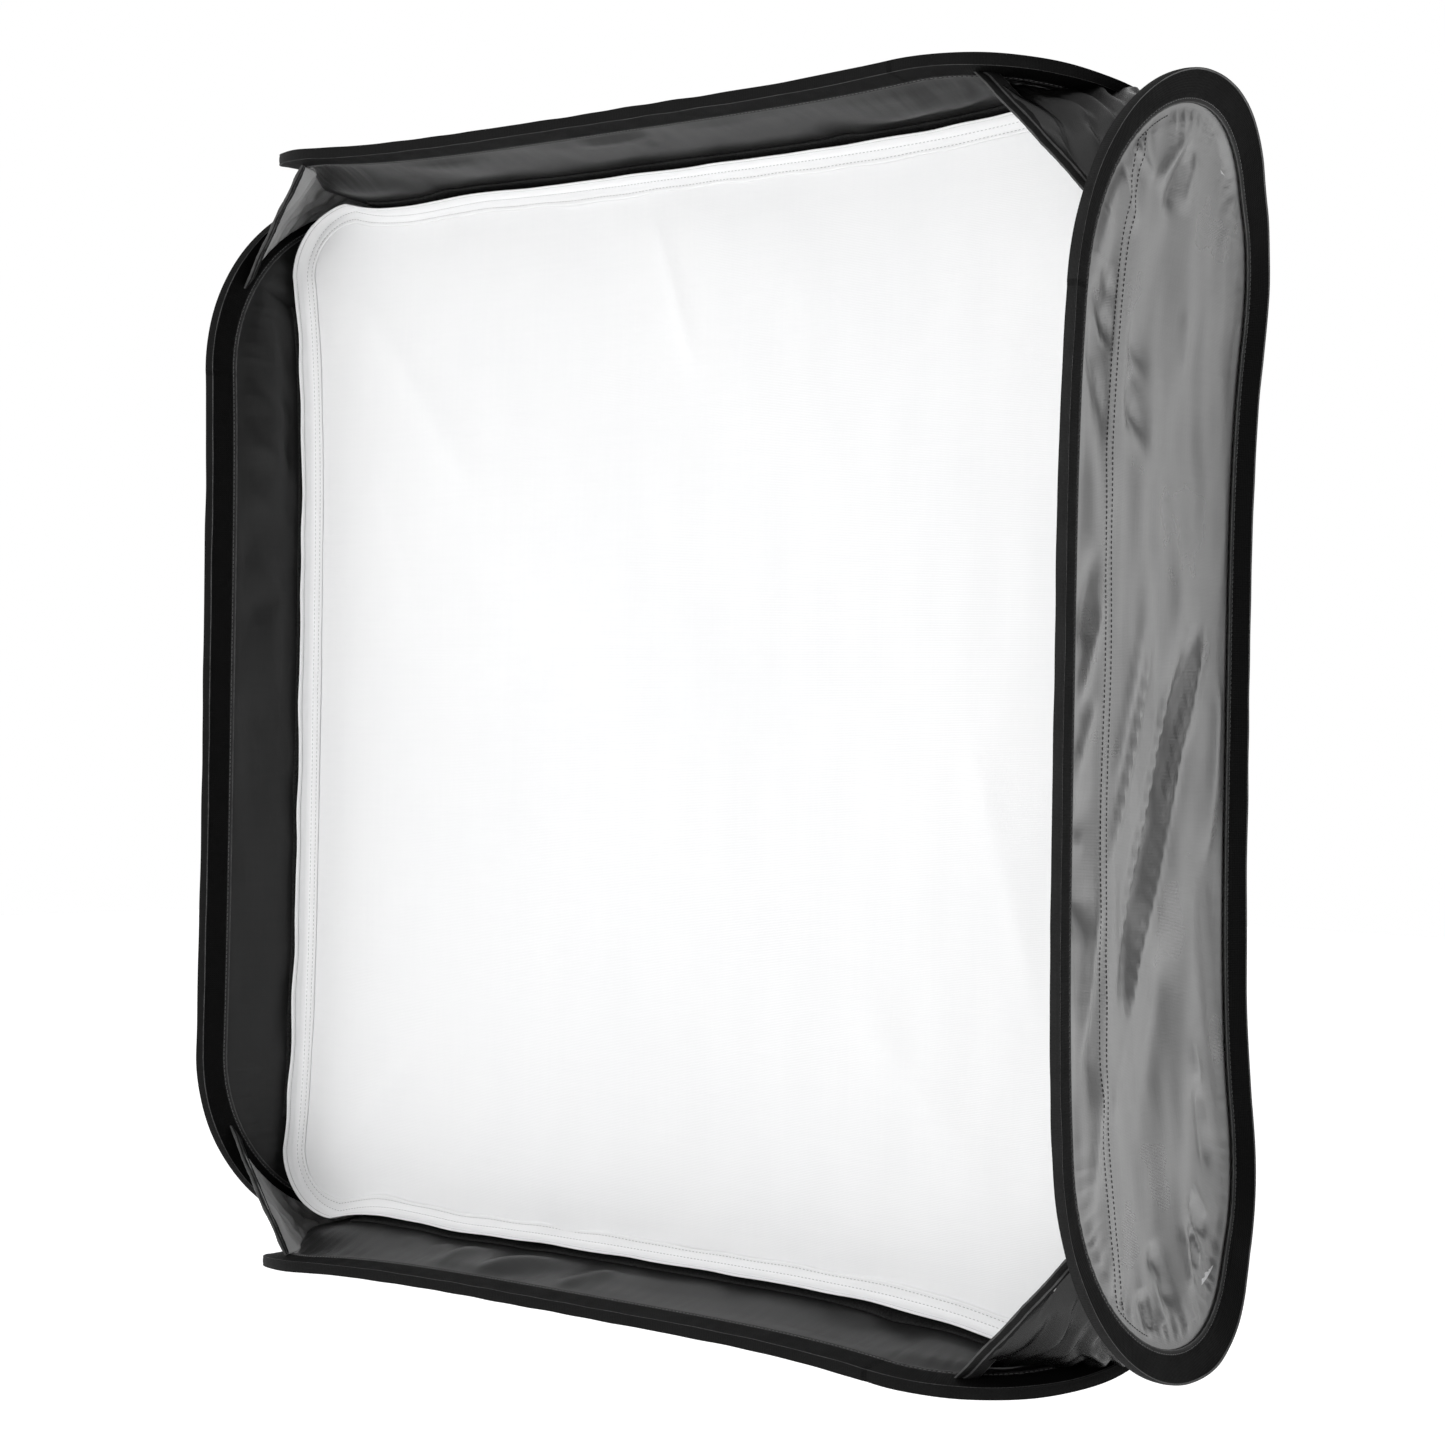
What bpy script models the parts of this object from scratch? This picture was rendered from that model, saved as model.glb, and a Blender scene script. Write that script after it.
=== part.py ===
"""Pop-up studio softbox, 0.8 m square, with its adapter ring.

Four flat spring-steel hoops, each sewn into a binding tape around a fabric wall, stand in a square.
They carry a recessed front diffuser and a rear fabric cone, which is clamped to an adapter ring.
Metres, +Z up, front towards -Y. The origin is the centre of the flat face of the bayonet plate.
Depths called y are measured back from the front stitch plane, and FRONT_Y moves them into place.
"""
import math

import bmesh
import bpy
from mathutils import Vector

# ---- driving dimensions ----
FRONT_Y = -0.440            # front stitch plane, as far in front of the mounting face as the box is deep
TAPER = 0.29                # how fast a wall leans inwards towards the rear
FRONT_LINE = -0.0045        # y of the walls' front stitch lines, a little ahead of the reference plane
RIM = 0.0205                # binding tape, from its stitch line out to its rim
RIM_HALF = 0.0034           # half the width of the tape's outer face
REAR_LEAN = 0.35            # how far the rear half of a binding leans outwards, as a share of its width
FABRIC = 0.0009             # thickness of the wall fabric
TAPE = 0.0010               # thickness of the folded binding tape
TAPE_LIP = 0.0005           # how far outside the stitch line the tape begins
GAP = 0.0004                # clearance between pieces that touch
STEEL_WIDTH = 0.0036        # spring-steel strip, across the wall
STEEL_THICK = 0.0008        # spring-steel strip, along the wall
FLARE_REACH = 0.39          # distance from the middle of a wall at which its flare is given

DIFFUSER_Y = 0.052          # diffuser plane
DIFFUSER_HALF = 0.372       # half its side
HOOK_FRONT = 0.010          # hook strips reach this far in front of the diffuser plane
HOOK_REAR = 0.006           # and this far behind it
HOOK_THICK = 0.0012
BORDER_WIDTH = 0.0126       # double hem in the diffuser's own plane
FLANGE_WIDTH = 0.011        # hem turned forwards along the walls
HEM_THICK = 0.0010
CORNER_ROUND = 0.050        # diffuser corner

REAR_INSET = 0.0045         # rear panels start this far inside the walls
HOOK_REACH = 0.300          # hook strips end this far from the middle of a wall
GUSSET_TAPE = 0.0135
GUSSET_LEAD = 0.009         # gussets are sewn on to the binding tapes, this far outside the stitch lines
GUSSET_INSET = 0.0056       # gussets are sewn on this far inside the walls, at their front edge
GUSSET_SINK = 0.0085        # and this much further inside at the tips
GUSSET_BULGE = 0.13         # how far a gusset bows outwards, as a share of its width
GUSSET_TURN = 66            # degrees of the hoops' front corner that a gusset covers

RING_Y = 0.398              # front face of the adapter ring
RING_BACK = -0.016          # its rear face, in front of the mounting face
RING_OUTER = 0.0800
RING_INNER = 0.0600
PLATE_OUTER = 0.0660
HUB_OUTER = 0.0560
HUB_INNER = 0.0490
RETAINER_INNER = 0.0568
SCREW_HOLE = 0.0019
LUG_SPAN = 26               # degrees of the hub that one lug covers
COLLAR_RADIUS = 0.0845      # where the rear panels end

SEAM_Y = 0.120              # depth of the hoops' tips, where neighbours are sewn together
APEX_Y = 1.328              # all fold axes meet here, on the softbox axis behind the ring
SEAM_BOTTOM_LEFT = (-0.3540, -0.3640)
SEAM_BOTTOM_RIGHT = (0.3715, -0.3965)
SEAM_TOP_LEFT = (-0.3895, 0.3915)
ARC_STEPS = 9               # segments in each rounded corner of a hoop


class Wall:
    """Outline and bow of one hoop: s runs along the wall, y back from the front, n outwards."""

    def __init__(self, name, axis, sign, front, rear, depth, centre, half, flares, eases):
        self.name = name
        self.axis = axis            # "x": the wall faces along X, "z": it faces along Z
        self.sign = sign
        self.front = front          # (half length, corner radius) at the front stitch line
        self.rear = rear            # the same at the rear
        self.depth = depth
        self.centre = centre        # the hoop's middle along s
        self.half = half            # distance of the wall's middle from the softbox axis
        self.flares = flares        # how far its two ends flare outwards
        self.eases = eases          # how much less its two ends lean inwards

    def height(self, s, y):
        """Distance of the wall from the softbox axis."""
        end = 1 if s > 0 else 0
        e = (s / FLARE_REACH) ** 4
        return self.half + self.flares[end] * e - TAPER * y * (1 - self.eases[end] * min(e, 1.0))

    def place(self, s, y, n=0.0):
        h = (self.height(s, y) + n) * self.sign
        if self.axis == "z":
            return Vector((s, y + FRONT_Y, h))
        return Vector((h, y + FRONT_Y, s))

    def outward(self):
        return Vector((0, 0, self.sign)) if self.axis == "z" else Vector((self.sign, 0, 0))

    def outline(self):
        """Stitch line as (s, y, normal s, normal y), anticlockwise from the front right corner."""
        (fl, fr), (rl, rr) = self.front, self.rear
        circles = [(fl - fr, FRONT_LINE + fr, fr), (rl - rr, self.depth - rr, rr),
                   (rr - rl, self.depth - rr, rr), (fr - fl, FRONT_LINE + fr, fr)]
        angles = []
        for (x0, y0, r0), (x1, y1, r1) in zip(circles, circles[1:] + circles[:1]):
            length = math.hypot(x1 - x0, y1 - y0)
            angles.append(math.atan2(y1 - y0, x1 - x0) - math.pi / 2 + math.asin((r0 - r1) / length))
        points = []
        for i, (cx, cy, r) in enumerate(circles):
            start, stop = angles[i - 1], angles[i]
            while stop < start:
                stop += 2 * math.pi
            for k in range(ARC_STEPS + 1):
                a = start + (stop - start) * k / ARC_STEPS
                points.append((cx + r * math.cos(a) + self.centre, cy + r * math.sin(a),
                               math.cos(a), math.sin(a)))
        return subdivided(points, 0.06)

    def edge(self, s, rear):
        """y of the front or rear stitch line at s."""
        points = self.outline()
        crossings = []
        for (s0, y0, _, _), (s1, y1, _, _) in zip(points, points[1:] + points[:1]):
            if min(s0, s1) <= s <= max(s0, s1) and s0 != s1:
                crossings.append(y0 + (y1 - y0) * (s - s0) / (s1 - s0))
        return max(crossings) if rear else min(crossings)

    def reach(self):
        return max(point[0] for point in self.outline()) - self.centre


WALLS = {
    "top": Wall("top", "z", 1, (0.3585, 0.0895), (0.3405, 0.0945), 0.2385, -0.010, 0.382,
                (0.028, 0.020), (1.0, 0.0)),
    "bottom": Wall("bottom", "z", -1, (0.3585, 0.0925), (0.3405, 0.0945), 0.2385, -0.010, 0.379,
                   (0.030, 0.036), (1.0, 0.0)),
    "left": Wall("left", "x", -1, (0.3675, 0.1195), (0.3305, 0.0985), 0.2385, 0.0, 0.385,
                 (0.012, 0.022), (0.6, 0.6)),
    "right": Wall("right", "x", 1, (0.3745, 0.1195), (0.3485, 0.1005), 0.2495, 0.0, 0.386,
                  (0.028, 0.028), (0.25, 0.25)),
}
# Each corner: the lying wall, the standing wall, their signs along X and Z, and where its gusset
# starts on the two hoops, from the softbox axis.
CORNERS = {
    "top_left": ("top", "left", -1, 1, (0.311, 0.306)),
    "top_right": ("top", "right", 1, 1, (0.300, 0.300)),
    "bottom_right": ("bottom", "right", 1, -1, (0.300, 0.300)),
    "bottom_left": ("bottom", "left", -1, -1, (0.311, 0.300)),
}


# ---- small helpers ----
def subdivided(points, longest):
    """Closed list with its long straight stretches cut into equal steps."""
    result = []
    for a, b in zip(points, points[1:] + points[:1]):
        count = max(1, round(math.hypot(b[0] - a[0], b[1] - a[1]) / longest))
        for i in range(count):
            t = i / count
            result.append(tuple(p + (q - p) * t for p, q in zip(a, b)))
    return result


def clear_scene():
    for item in list(bpy.data.objects):
        bpy.data.objects.remove(item, do_unlink=True)


def material(name, colour, roughness, metallic=0.0):
    found = bpy.data.materials.get(name)
    if found:
        return found
    made = bpy.data.materials.new(name)
    made.use_nodes = True
    shader = made.node_tree.nodes["Principled BSDF"]
    shader.inputs["Base Color"].default_value = (*colour, 1.0)
    shader.inputs["Roughness"].default_value = roughness
    shader.inputs["Metallic"].default_value = metallic
    return made


def black_tape():
    return material("black_tape", (0.018, 0.018, 0.019), 0.75)


def black_fabric():
    return material("black_fabric", (0.020, 0.020, 0.022), 0.55)


def white_fabric():
    return material("white_fabric", (0.86, 0.86, 0.86), 0.85)


def hook_tape():
    return material("hook_tape", (0.60, 0.60, 0.60), 0.9)


def spring_steel():
    return material("spring_steel", (0.36, 0.37, 0.38), 0.35, 1.0)


def cast_aluminium():
    return material("cast_aluminium", (0.55, 0.56, 0.57), 0.45, 1.0)


def screw_steel():
    return material("screw_steel", (0.45, 0.45, 0.45), 0.3, 1.0)


def knob_plastic():
    return material("knob_plastic", (0.02, 0.02, 0.02), 0.5)


def add_object(name, mesh, mat, parent, smooth):
    """Object whose origin is its parent empty's place, with its mesh given in world metres."""
    mesh.materials.append(mat)
    item = bpy.data.objects.new(name, mesh)
    bpy.context.scene.collection.objects.link(item)
    if parent:
        for vertex in mesh.vertices:
            vertex.co -= parent.location
        item.parent = parent
    for face in mesh.polygons:
        face.use_smooth = smooth
    return item


def finish_mesh(name, bm, mat, parent=None, smooth=True):
    bmesh.ops.recalc_face_normals(bm, faces=bm.faces)
    if bm.calc_volume(signed=True) < 0:
        bmesh.ops.reverse_faces(bm, faces=bm.faces)
    mesh = bpy.data.meshes.new(name)
    bm.to_mesh(mesh)
    bm.free()
    return add_object(name, mesh, mat, parent, smooth)


def grid_normals(grid):
    """Unit normal at each point of a grid, from its neighbours."""
    last_row, last_col = len(grid) - 1, len(grid[0]) - 1
    normals = []
    for i in range(last_row + 1):
        row = []
        for j in range(last_col + 1):
            along = grid[min(i + 1, last_row)][j] - grid[max(i - 1, 0)][j]
            across = grid[i][min(j + 1, last_col)] - grid[i][max(j - 1, 0)]
            row.append(along.cross(across).normalized())
        normals.append(row)
    return normals


def sheet_solid(name, grid, push, mat, parent=None):
    """Closed thin solid on a grid of points, thickened to both sides.

    push is a vector, or a length along the sheet's own normals.
    """
    bm = bmesh.new()
    if isinstance(push, float):
        pushes = [[n * push for n in row] for row in grid_normals(grid)]
    else:
        pushes = [[Vector(push)] * len(row) for row in grid]
    rows = [[(bm.verts.new(p + d), bm.verts.new(p - d)) for p, d in zip(row, offsets)]
            for row, offsets in zip(grid, pushes)]
    last_row = len(rows) - 1
    last_col = len(rows[0]) - 1
    for i in range(last_row):
        for j in range(last_col):
            cell = [rows[i][j], rows[i + 1][j], rows[i + 1][j + 1], rows[i][j + 1]]
            for side in (0, 1):
                bm.faces.new([corner[side] for corner in cell])
    border = [(0, j, 0, j + 1) for j in range(last_col)]
    border += [(last_row, j, last_row, j + 1) for j in range(last_col)]
    border += [(i, 0, i + 1, 0) for i in range(last_row)]
    border += [(i, last_col, i + 1, last_col) for i in range(last_row)]
    for i0, j0, i1, j1 in border:
        a, b = rows[i0][j0], rows[i1][j1]
        bm.faces.new((a[0], b[0], b[1], a[1]))
    return finish_mesh(name, bm, mat, parent)


def loop_solid(name, sections, mat, parent=None, smooth=True):
    """Closed ring: each section is a closed polygon, and the last section joins the first."""
    bm = bmesh.new()
    rings = [[bm.verts.new(p) for p in section] for section in sections]
    for ring, following in zip(rings, rings[1:] + rings[:1]):
        for k in range(len(ring)):
            m = (k + 1) % len(ring)
            bm.faces.new((ring[k], ring[m], following[m], following[k]))
    return finish_mesh(name, bm, mat, parent, smooth)


def turned_ring(name, profile, mat, parent=None, segments=40):
    """Ring turned about the Y axis from (radius, y) points."""
    sections = []
    for i in range(segments):
        a = 2 * math.pi * i / segments
        sections.append([Vector((r * math.cos(a), y, r * math.sin(a))) for r, y in profile])
    return loop_solid(name, sections, mat, parent, smooth=False)


def turned_solid(name, profile, centre, axis, mat, parent=None, segments=16):
    """Solid turned about an axis through centre from (radius, height) points, ends on the axis."""
    axis = Vector(axis).normalized()
    side = axis.orthogonal().normalized()
    other = axis.cross(side)
    bm = bmesh.new()
    rings = []
    for radius, height in profile:
        ring = []
        for i in range(segments):
            a = 2 * math.pi * i / segments
            ring.append(bm.verts.new(Vector(centre) + axis * height
                                     + (side * math.cos(a) + other * math.sin(a)) * radius))
        rings.append(ring)
    for ring, following in zip(rings, rings[1:]):
        for k in range(segments):
            m = (k + 1) % segments
            bm.faces.new((ring[k], ring[m], following[m], following[k]))
    bm.faces.new(rings[0])
    bm.faces.new(rings[-1])
    return finish_mesh(name, bm, mat, parent, smooth=False)


def empty(name, location):
    item = bpy.data.objects.new(name, None)
    item.location = location
    bpy.context.scene.collection.objects.link(item)
    return item


# ---- one wall ----
def wall_fabric(wall, parent):
    """Fabric inside the stitch line; its edge lies in the slit of the binding tape."""
    columns, rows = 30, 5
    reach = wall.reach() - 0.001
    grid = []
    for i in range(columns + 1):
        s = wall.centre - reach * math.cos(math.pi * i / columns)
        y0, y1 = wall.edge(s, False) + 0.0002, wall.edge(s, True) - 0.0002
        grid.append([wall.place(s, y0 + (y1 - y0) * j / rows) for j in range(rows + 1)])
    sheet_solid(wall.name + "_wall_fabric", grid, wall.outward() * (FABRIC / 2), black_fabric(), parent)


def swept_round(wall, profile):
    """Sections of a profile, (distance outside the stitch line, n), all the way round a wall."""
    sections = []
    for s, y, ns, ny in wall.outline():
        lean = REAR_LEAN * max(ny, 0.0)
        sections.append([wall.place(s + ns * r, y + ny * r, n + lean * r) for r, n in profile])
    return sections


def wall_binding(wall, parent):
    """Tape folded over the hoop: two sloping sides and an outer face, open along the stitch line."""
    slit = FABRIC / 2 + GAP
    inner_half = RIM_HALF - TAPE * 1.1
    profile = [(TAPE_LIP, slit), (TAPE_LIP, slit + TAPE), (RIM, RIM_HALF), (RIM, -RIM_HALF),
               (TAPE_LIP, -slit - TAPE), (TAPE_LIP, -slit),
               (RIM - TAPE, -inner_half), (RIM - TAPE, inner_half)]
    loop_solid(wall.name + "_binding_tape", swept_round(wall, profile), black_tape(), parent)


def wall_hoop(wall, parent):
    """Flat spring-steel strip that stands on edge just inside the tape's outer face."""
    outer = RIM - TAPE - GAP
    inner = outer - STEEL_THICK
    half = STEEL_WIDTH / 2
    profile = [(inner, -half), (outer, -half), (outer, half), (inner, half)]
    loop_solid(wall.name + "_spring_hoop", swept_round(wall, profile), spring_steel(), parent,
               smooth=False)


def hook_strip(wall, parent):
    """Hook tape sewn inside the wall, which the diffuser's flange presses on to."""
    columns = 16
    lift = -(FABRIC / 2 + GAP * 1.5 + HOOK_THICK / 2)
    grid = []
    for i in range(columns + 1):
        s = HOOK_REACH * (2 * i / columns - 1)
        grid.append([wall.place(s, y, lift) for y in (DIFFUSER_Y - HOOK_FRONT, DIFFUSER_Y + HOOK_REAR)])
    sheet_solid(wall.name + "_hook_strip", grid, wall.outward() * (HOOK_THICK / 2), hook_tape(), parent)


# ---- corners ----
def front_arc(wall, sign, start, t, inset):
    """Point beside the front corner of a stitch line: t from the gusset's start to near the tip."""
    length, radius = wall.front
    corner = length - radius
    past = start - sign * wall.centre - corner      # negative: that much straight line comes first
    first = math.asin(max(past, 0.0) / radius)
    straight = max(-past, 0.0)
    along = t * (straight + radius * (math.radians(GUSSET_TURN) - first))
    if along < straight:
        s, y = corner - straight + along, -GUSSET_LEAD
    else:
        a = first + (along - straight) / radius
        outer = radius + GUSSET_LEAD
        s, y = corner + outer * math.sin(a), radius - outer * math.cos(a)
    return wall.place(sign * s + wall.centre, FRONT_LINE + y, -inset)


def gusset(corner, parent):
    """Fabric web that closes the gap between the front corners of two hoops."""
    lying, standing, sx, sz, starts = CORNERS[corner]
    along, across = 7, 6
    outwards = Vector((sx, 0, sz)).normalized()
    grid = []
    for i in range(along + 1):
        t = 0.10 + 0.90 * i / along
        inset = GUSSET_INSET + GUSSET_SINK * t
        a = front_arc(WALLS[lying], sx, starts[0], t, inset)
        b = front_arc(WALLS[standing], sz, starts[1], t, inset)
        bulge = outwards * (GUSSET_BULGE * (b - a).length)
        grid.append([a.lerp(b, j / across) + bulge * math.sin(math.pi * j / across)
                     for j in range(across + 1)])
    sheet_solid(corner + "_gusset", grid, outwards * (FABRIC / 2), black_fabric(), parent)


def gusset_tape(corner, parent):
    """Bound front edge of a gusset, doubled tape in the plane of the web."""
    lying, standing, sx, sz, starts = CORNERS[corner]
    a = front_arc(WALLS[lying], sx, starts[0], 0.0, GUSSET_INSET)
    b = front_arc(WALLS[standing], sz, starts[1], 0.0, GUSSET_INSET)
    back = Vector((0, GUSSET_TAPE, 0))
    columns = 8
    grid = [[a.lerp(b, i / columns), a.lerp(b, i / columns) + back] for i in range(columns + 1)]
    push = Vector((sx, 0, sz)).normalized() * TAPE
    sheet_solid(corner + "_gusset_tape", grid, push, black_tape(), parent)


# ---- diffuser ----
def diffuser_loop(inset):
    """Rounded square that runs just inside the four walls, inset from their inner faces."""
    points = []
    limit = DIFFUSER_HALF - CORNER_ROUND
    steps = 14
    for name, forward in (("right", 1), ("top", -1), ("left", -1), ("bottom", 1)):
        wall = WALLS[name]
        for i in range(steps + 1):
            s = forward * limit * (2 * i / steps - 1)
            h = wall.height(s, DIFFUSER_Y) - inset
            points.append((h * wall.sign, s) if wall.axis == "x" else (s, h * wall.sign))
    return round_corners(points, steps + 1)


def round_corners(points, per_side):
    """Adds a quarter round between the ends of neighbouring sides."""
    result = []
    count = len(points)
    for i, (x, z) in enumerate(points):
        result.append((x, z))
        if i % per_side == per_side - 1:
            nx, nz = points[(i + 1) % count]
            cx, cz = (nx, z) if abs(x) > abs(nx) else (x, nz)
            for k in (1, 2, 3, 4):
                a = math.radians(18 * k)
                result.append((cx + (x - cx) * math.cos(a) + (nx - cx) * math.sin(a),
                               cz + (z - cz) * math.cos(a) + (nz - cz) * math.sin(a)))
    return result


def diffuser_sheet(parent):
    inset = FABRIC / 2 + GAP * 3.5 + HOOK_THICK + HEM_THICK + 0.0012
    loop = diffuser_loop(inset)
    bm = bmesh.new()
    y = DIFFUSER_Y + FRONT_Y
    front = [bm.verts.new((x, y, z)) for x, z in loop]
    face = bm.faces.new(front)
    moved = bmesh.ops.extrude_face_region(bm, geom=[face])
    verts = [g for g in moved["geom"] if isinstance(g, bmesh.types.BMVert)]
    bmesh.ops.translate(bm, verts=verts, vec=(0, FABRIC, 0))
    finish_mesh("diffuser_sheet", bm, white_fabric(), parent, smooth=False)


def diffuser_border(parent):
    """Doubled hem in front of the sheet's edge, turned forwards into a flange along the walls."""
    inset = FABRIC / 2 + GAP * 3.5 + HOOK_THICK
    outer = diffuser_loop(inset)
    thick = diffuser_loop(inset + HEM_THICK)
    inner = diffuser_loop(inset + BORDER_WIDTH)
    y = DIFFUSER_Y + FRONT_Y - GAP
    sections = []
    for (ax, az), (bx, bz), (cx, cz) in zip(outer, thick, inner):
        sections.append([Vector((ax, y, az)), Vector((ax, y - FLANGE_WIDTH, az)),
                         Vector((bx, y - FLANGE_WIDTH, bz)), Vector((bx, y - HEM_THICK, bz)),
                         Vector((cx, y - HEM_THICK, cz)), Vector((cx, y, cz))])
    loop_solid("diffuser_border", sections, white_fabric(), parent, smooth=False)


# ---- rear cone ----
def rear_chain(wall, count):
    """Rear half of a stitch line from tip to tip, just inside the binding tape."""
    points = []
    length, radius = wall.rear
    corner = length - radius
    arc = radius * math.radians(84)
    total = corner + arc
    for i in range(count + 1):
        along = total * (2 * i / count - 1)
        past = abs(along) - corner
        side = 1 if along > 0 else -1
        if past <= 0:
            s, y = along, wall.depth
        else:
            a = past / radius
            s, y = side * (corner + radius * math.sin(a)), wall.depth - radius * (1 - math.cos(a))
        points.append((s + wall.centre, y))
    return points


def rear_panel(wall, parent):
    """Quarter of the rear cone, from the wall's rear stitch line in to the ring."""
    across, back = 14, 4
    grid = []
    for i, (s, y) in enumerate(rear_chain(wall, across)):
        edge = wall.place(s, y, -REAR_INSET)
        turn = math.radians(44.3) * (2 * i / across - 1)
        if wall.axis == "z":
            target = Vector((math.sin(turn), 0, math.cos(turn) * wall.sign))
        else:
            target = Vector((math.cos(turn) * wall.sign, 0, math.sin(turn)))
        end = target * COLLAR_RADIUS + Vector((0, RING_Y - 0.004 + FRONT_Y, 0))
        grid.append([edge.lerp(end, j / back) for j in range(back + 1)])
    sheet_solid(wall.name + "_rear_panel", grid, FABRIC / 2, black_fabric(), parent)


# ---- adapter ring ----
def screw_places():
    """Centres of the retainer screws, midway across the retainer."""
    radius = (RETAINER_INNER + RING_OUTER) / 2 + 0.004
    return [Vector((radius * math.cos(a), 0, radius * math.sin(a)))
            for a in (math.radians(45 + 90 * k) for k in range(4))]


def screw_cutter():
    """One cutter for all four screw holes."""
    bm = bmesh.new()
    for place in screw_places():
        rings = []
        for y in (RING_BACK - 0.008, RING_BACK + 0.010):
            rings.append([bm.verts.new(place + Vector((SCREW_HOLE * math.cos(a), y,
                                                       SCREW_HOLE * math.sin(a))))
                          for a in (math.radians(45 * k) for k in range(8))])
        for k in range(8):
            m = (k + 1) % 8
            bm.faces.new((rings[0][k], rings[0][m], rings[1][m], rings[1][k]))
        bm.faces.new(rings[0])
        bm.faces.new(rings[1])
    cutter = finish_mesh("screw_hole_cutter", bm, screw_steel(), smooth=False)
    cutter.hide_render = True
    cutter.display_type = "WIRE"
    return cutter


def cut(item, cutter):
    boolean = item.modifiers.new("screw_holes", "BOOLEAN")
    boolean.operation = "DIFFERENCE"
    boolean.object = cutter


def adapter_ring():
    """Outer ring with a step at the back for the bayonet plate."""
    front = RING_Y + FRONT_Y
    step = RING_BACK - 0.005
    return turned_ring("adapter_ring", [(RING_INNER, front), (RING_OUTER, front), (RING_OUTER, RING_BACK),
                                        (PLATE_OUTER + GAP, RING_BACK), (PLATE_OUTER + GAP, step),
                                        (RING_INNER, step)], cast_aluminium(), segments=48)


def retainer_ring():
    front = RING_BACK + GAP
    rear = front + 0.003
    return turned_ring("retainer_ring", [(RETAINER_INNER, front), (RING_OUTER - 0.0005, front),
                                         (RING_OUTER - 0.0005, rear), (RETAINER_INNER, rear)],
                       cast_aluminium(), segments=48)


def retainer_screws():
    seat = RING_BACK + GAP + 0.003 + GAP
    shank = SCREW_HOLE - GAP
    profile = [(shank, -0.009), (shank, 0.0), (0.0034, 0.0), (0.0034, 0.0012), (0.0022, 0.0022)]
    for k, place in enumerate(screw_places(), 1):
        turned_solid("retainer_screw_%d" % k, profile, place + Vector((0, seat, 0)), (0, 1, 0),
                     screw_steel(), segments=10)


def bayonet_plate(parent):
    """Turning plate: a flange held behind the retainer and a hub that ends in the mounting face."""
    front = RING_BACK - 0.005 + GAP
    turned_ring("bayonet_plate", [(HUB_INNER, front), (PLATE_OUTER, front), (PLATE_OUTER, RING_BACK),
                                  (HUB_OUTER, RING_BACK), (HUB_OUTER, 0.0), (HUB_INNER, 0.0)],
                cast_aluminium(), parent, segments=48)


def bayonet_lugs(parent):
    """Three lugs round the hub, which lock behind a flash head's bayonet."""
    inner, outer = HUB_OUTER + GAP, HUB_OUTER + 0.0065
    front, rear = -0.0075, -0.0010
    for k in range(3):
        middle = math.radians(90 + 120 * k)
        grid = []
        for i in range(7):
            a = middle + math.radians(LUG_SPAN) * (i / 6 - 0.5)
            ray = Vector((math.cos(a), 0, math.sin(a)))
            grid.append([ray * inner, ray * outer])
        centre = Vector((0, (front + rear) / 2, 0))
        grid = [[p + centre for p in row] for row in grid]
        sheet_solid("bayonet_lug_%d" % (k + 1), grid, (0, (rear - front) / 2, 0), screw_steel(), parent)


def rear_collar():
    """Fabric tube that the rear panels end in, wrapped round the adapter ring."""
    inner = RING_OUTER + GAP
    outer = inner + 0.0010
    front, rear = RING_Y + FRONT_Y - 0.002, RING_BACK - 0.0060
    turned_ring("rear_collar", [(inner, front), (outer, front), (outer, rear), (inner, rear)],
                black_fabric(), segments=48)


def clamp_band():
    """Steel band that clamps the collar on the ring."""
    inner = RING_OUTER + 0.0018
    outer = inner + 0.0010
    middle = RING_Y + FRONT_Y + 0.010
    turned_ring("clamp_band", [(inner, middle - 0.006), (outer, middle - 0.006),
                               (outer, middle + 0.006), (inner, middle + 0.006)],
                spring_steel(), segments=48)
    top = outer + GAP
    grid = [[Vector((x, middle + y, top + 0.0035)) for y in (-0.005, 0.005)] for x in (-0.008, 0.008)]
    sheet_solid("clamp_band_block", grid, (0, 0, 0.0035), spring_steel())
    profile = [(0.0016, 0.0), (0.0016, 0.004), (0.0042, 0.004), (0.0042, 0.0075), (0.0030, 0.0085)]
    turned_solid("clamp_band_screw", profile, (0.008 + GAP, middle, top + 0.0035), (1, 0, 0),
                 screw_steel(), segments=12)


def lock_knob(parent):
    """Thumb knob on a stud; it pinches the bayonet plate so that the ring stops turning."""
    profile = [(0.0024, 0.0), (0.0024, 0.006), (0.0050, 0.006), (0.0062, 0.008),
               (0.0090, 0.009), (0.0090, 0.019), (0.0078, 0.021)]
    turned_solid("lock_knob", profile, (-RING_OUTER - GAP, RING_BACK - 0.0026, 0), (-1, 0, 0),
                 knob_plastic(), parent, segments=18)


# ---- assembly ----
def seam(x, z):
    """Where a fold axis crosses the plane through the hoops' tips."""
    return Vector((x, SEAM_Y + FRONT_Y, z))


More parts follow.
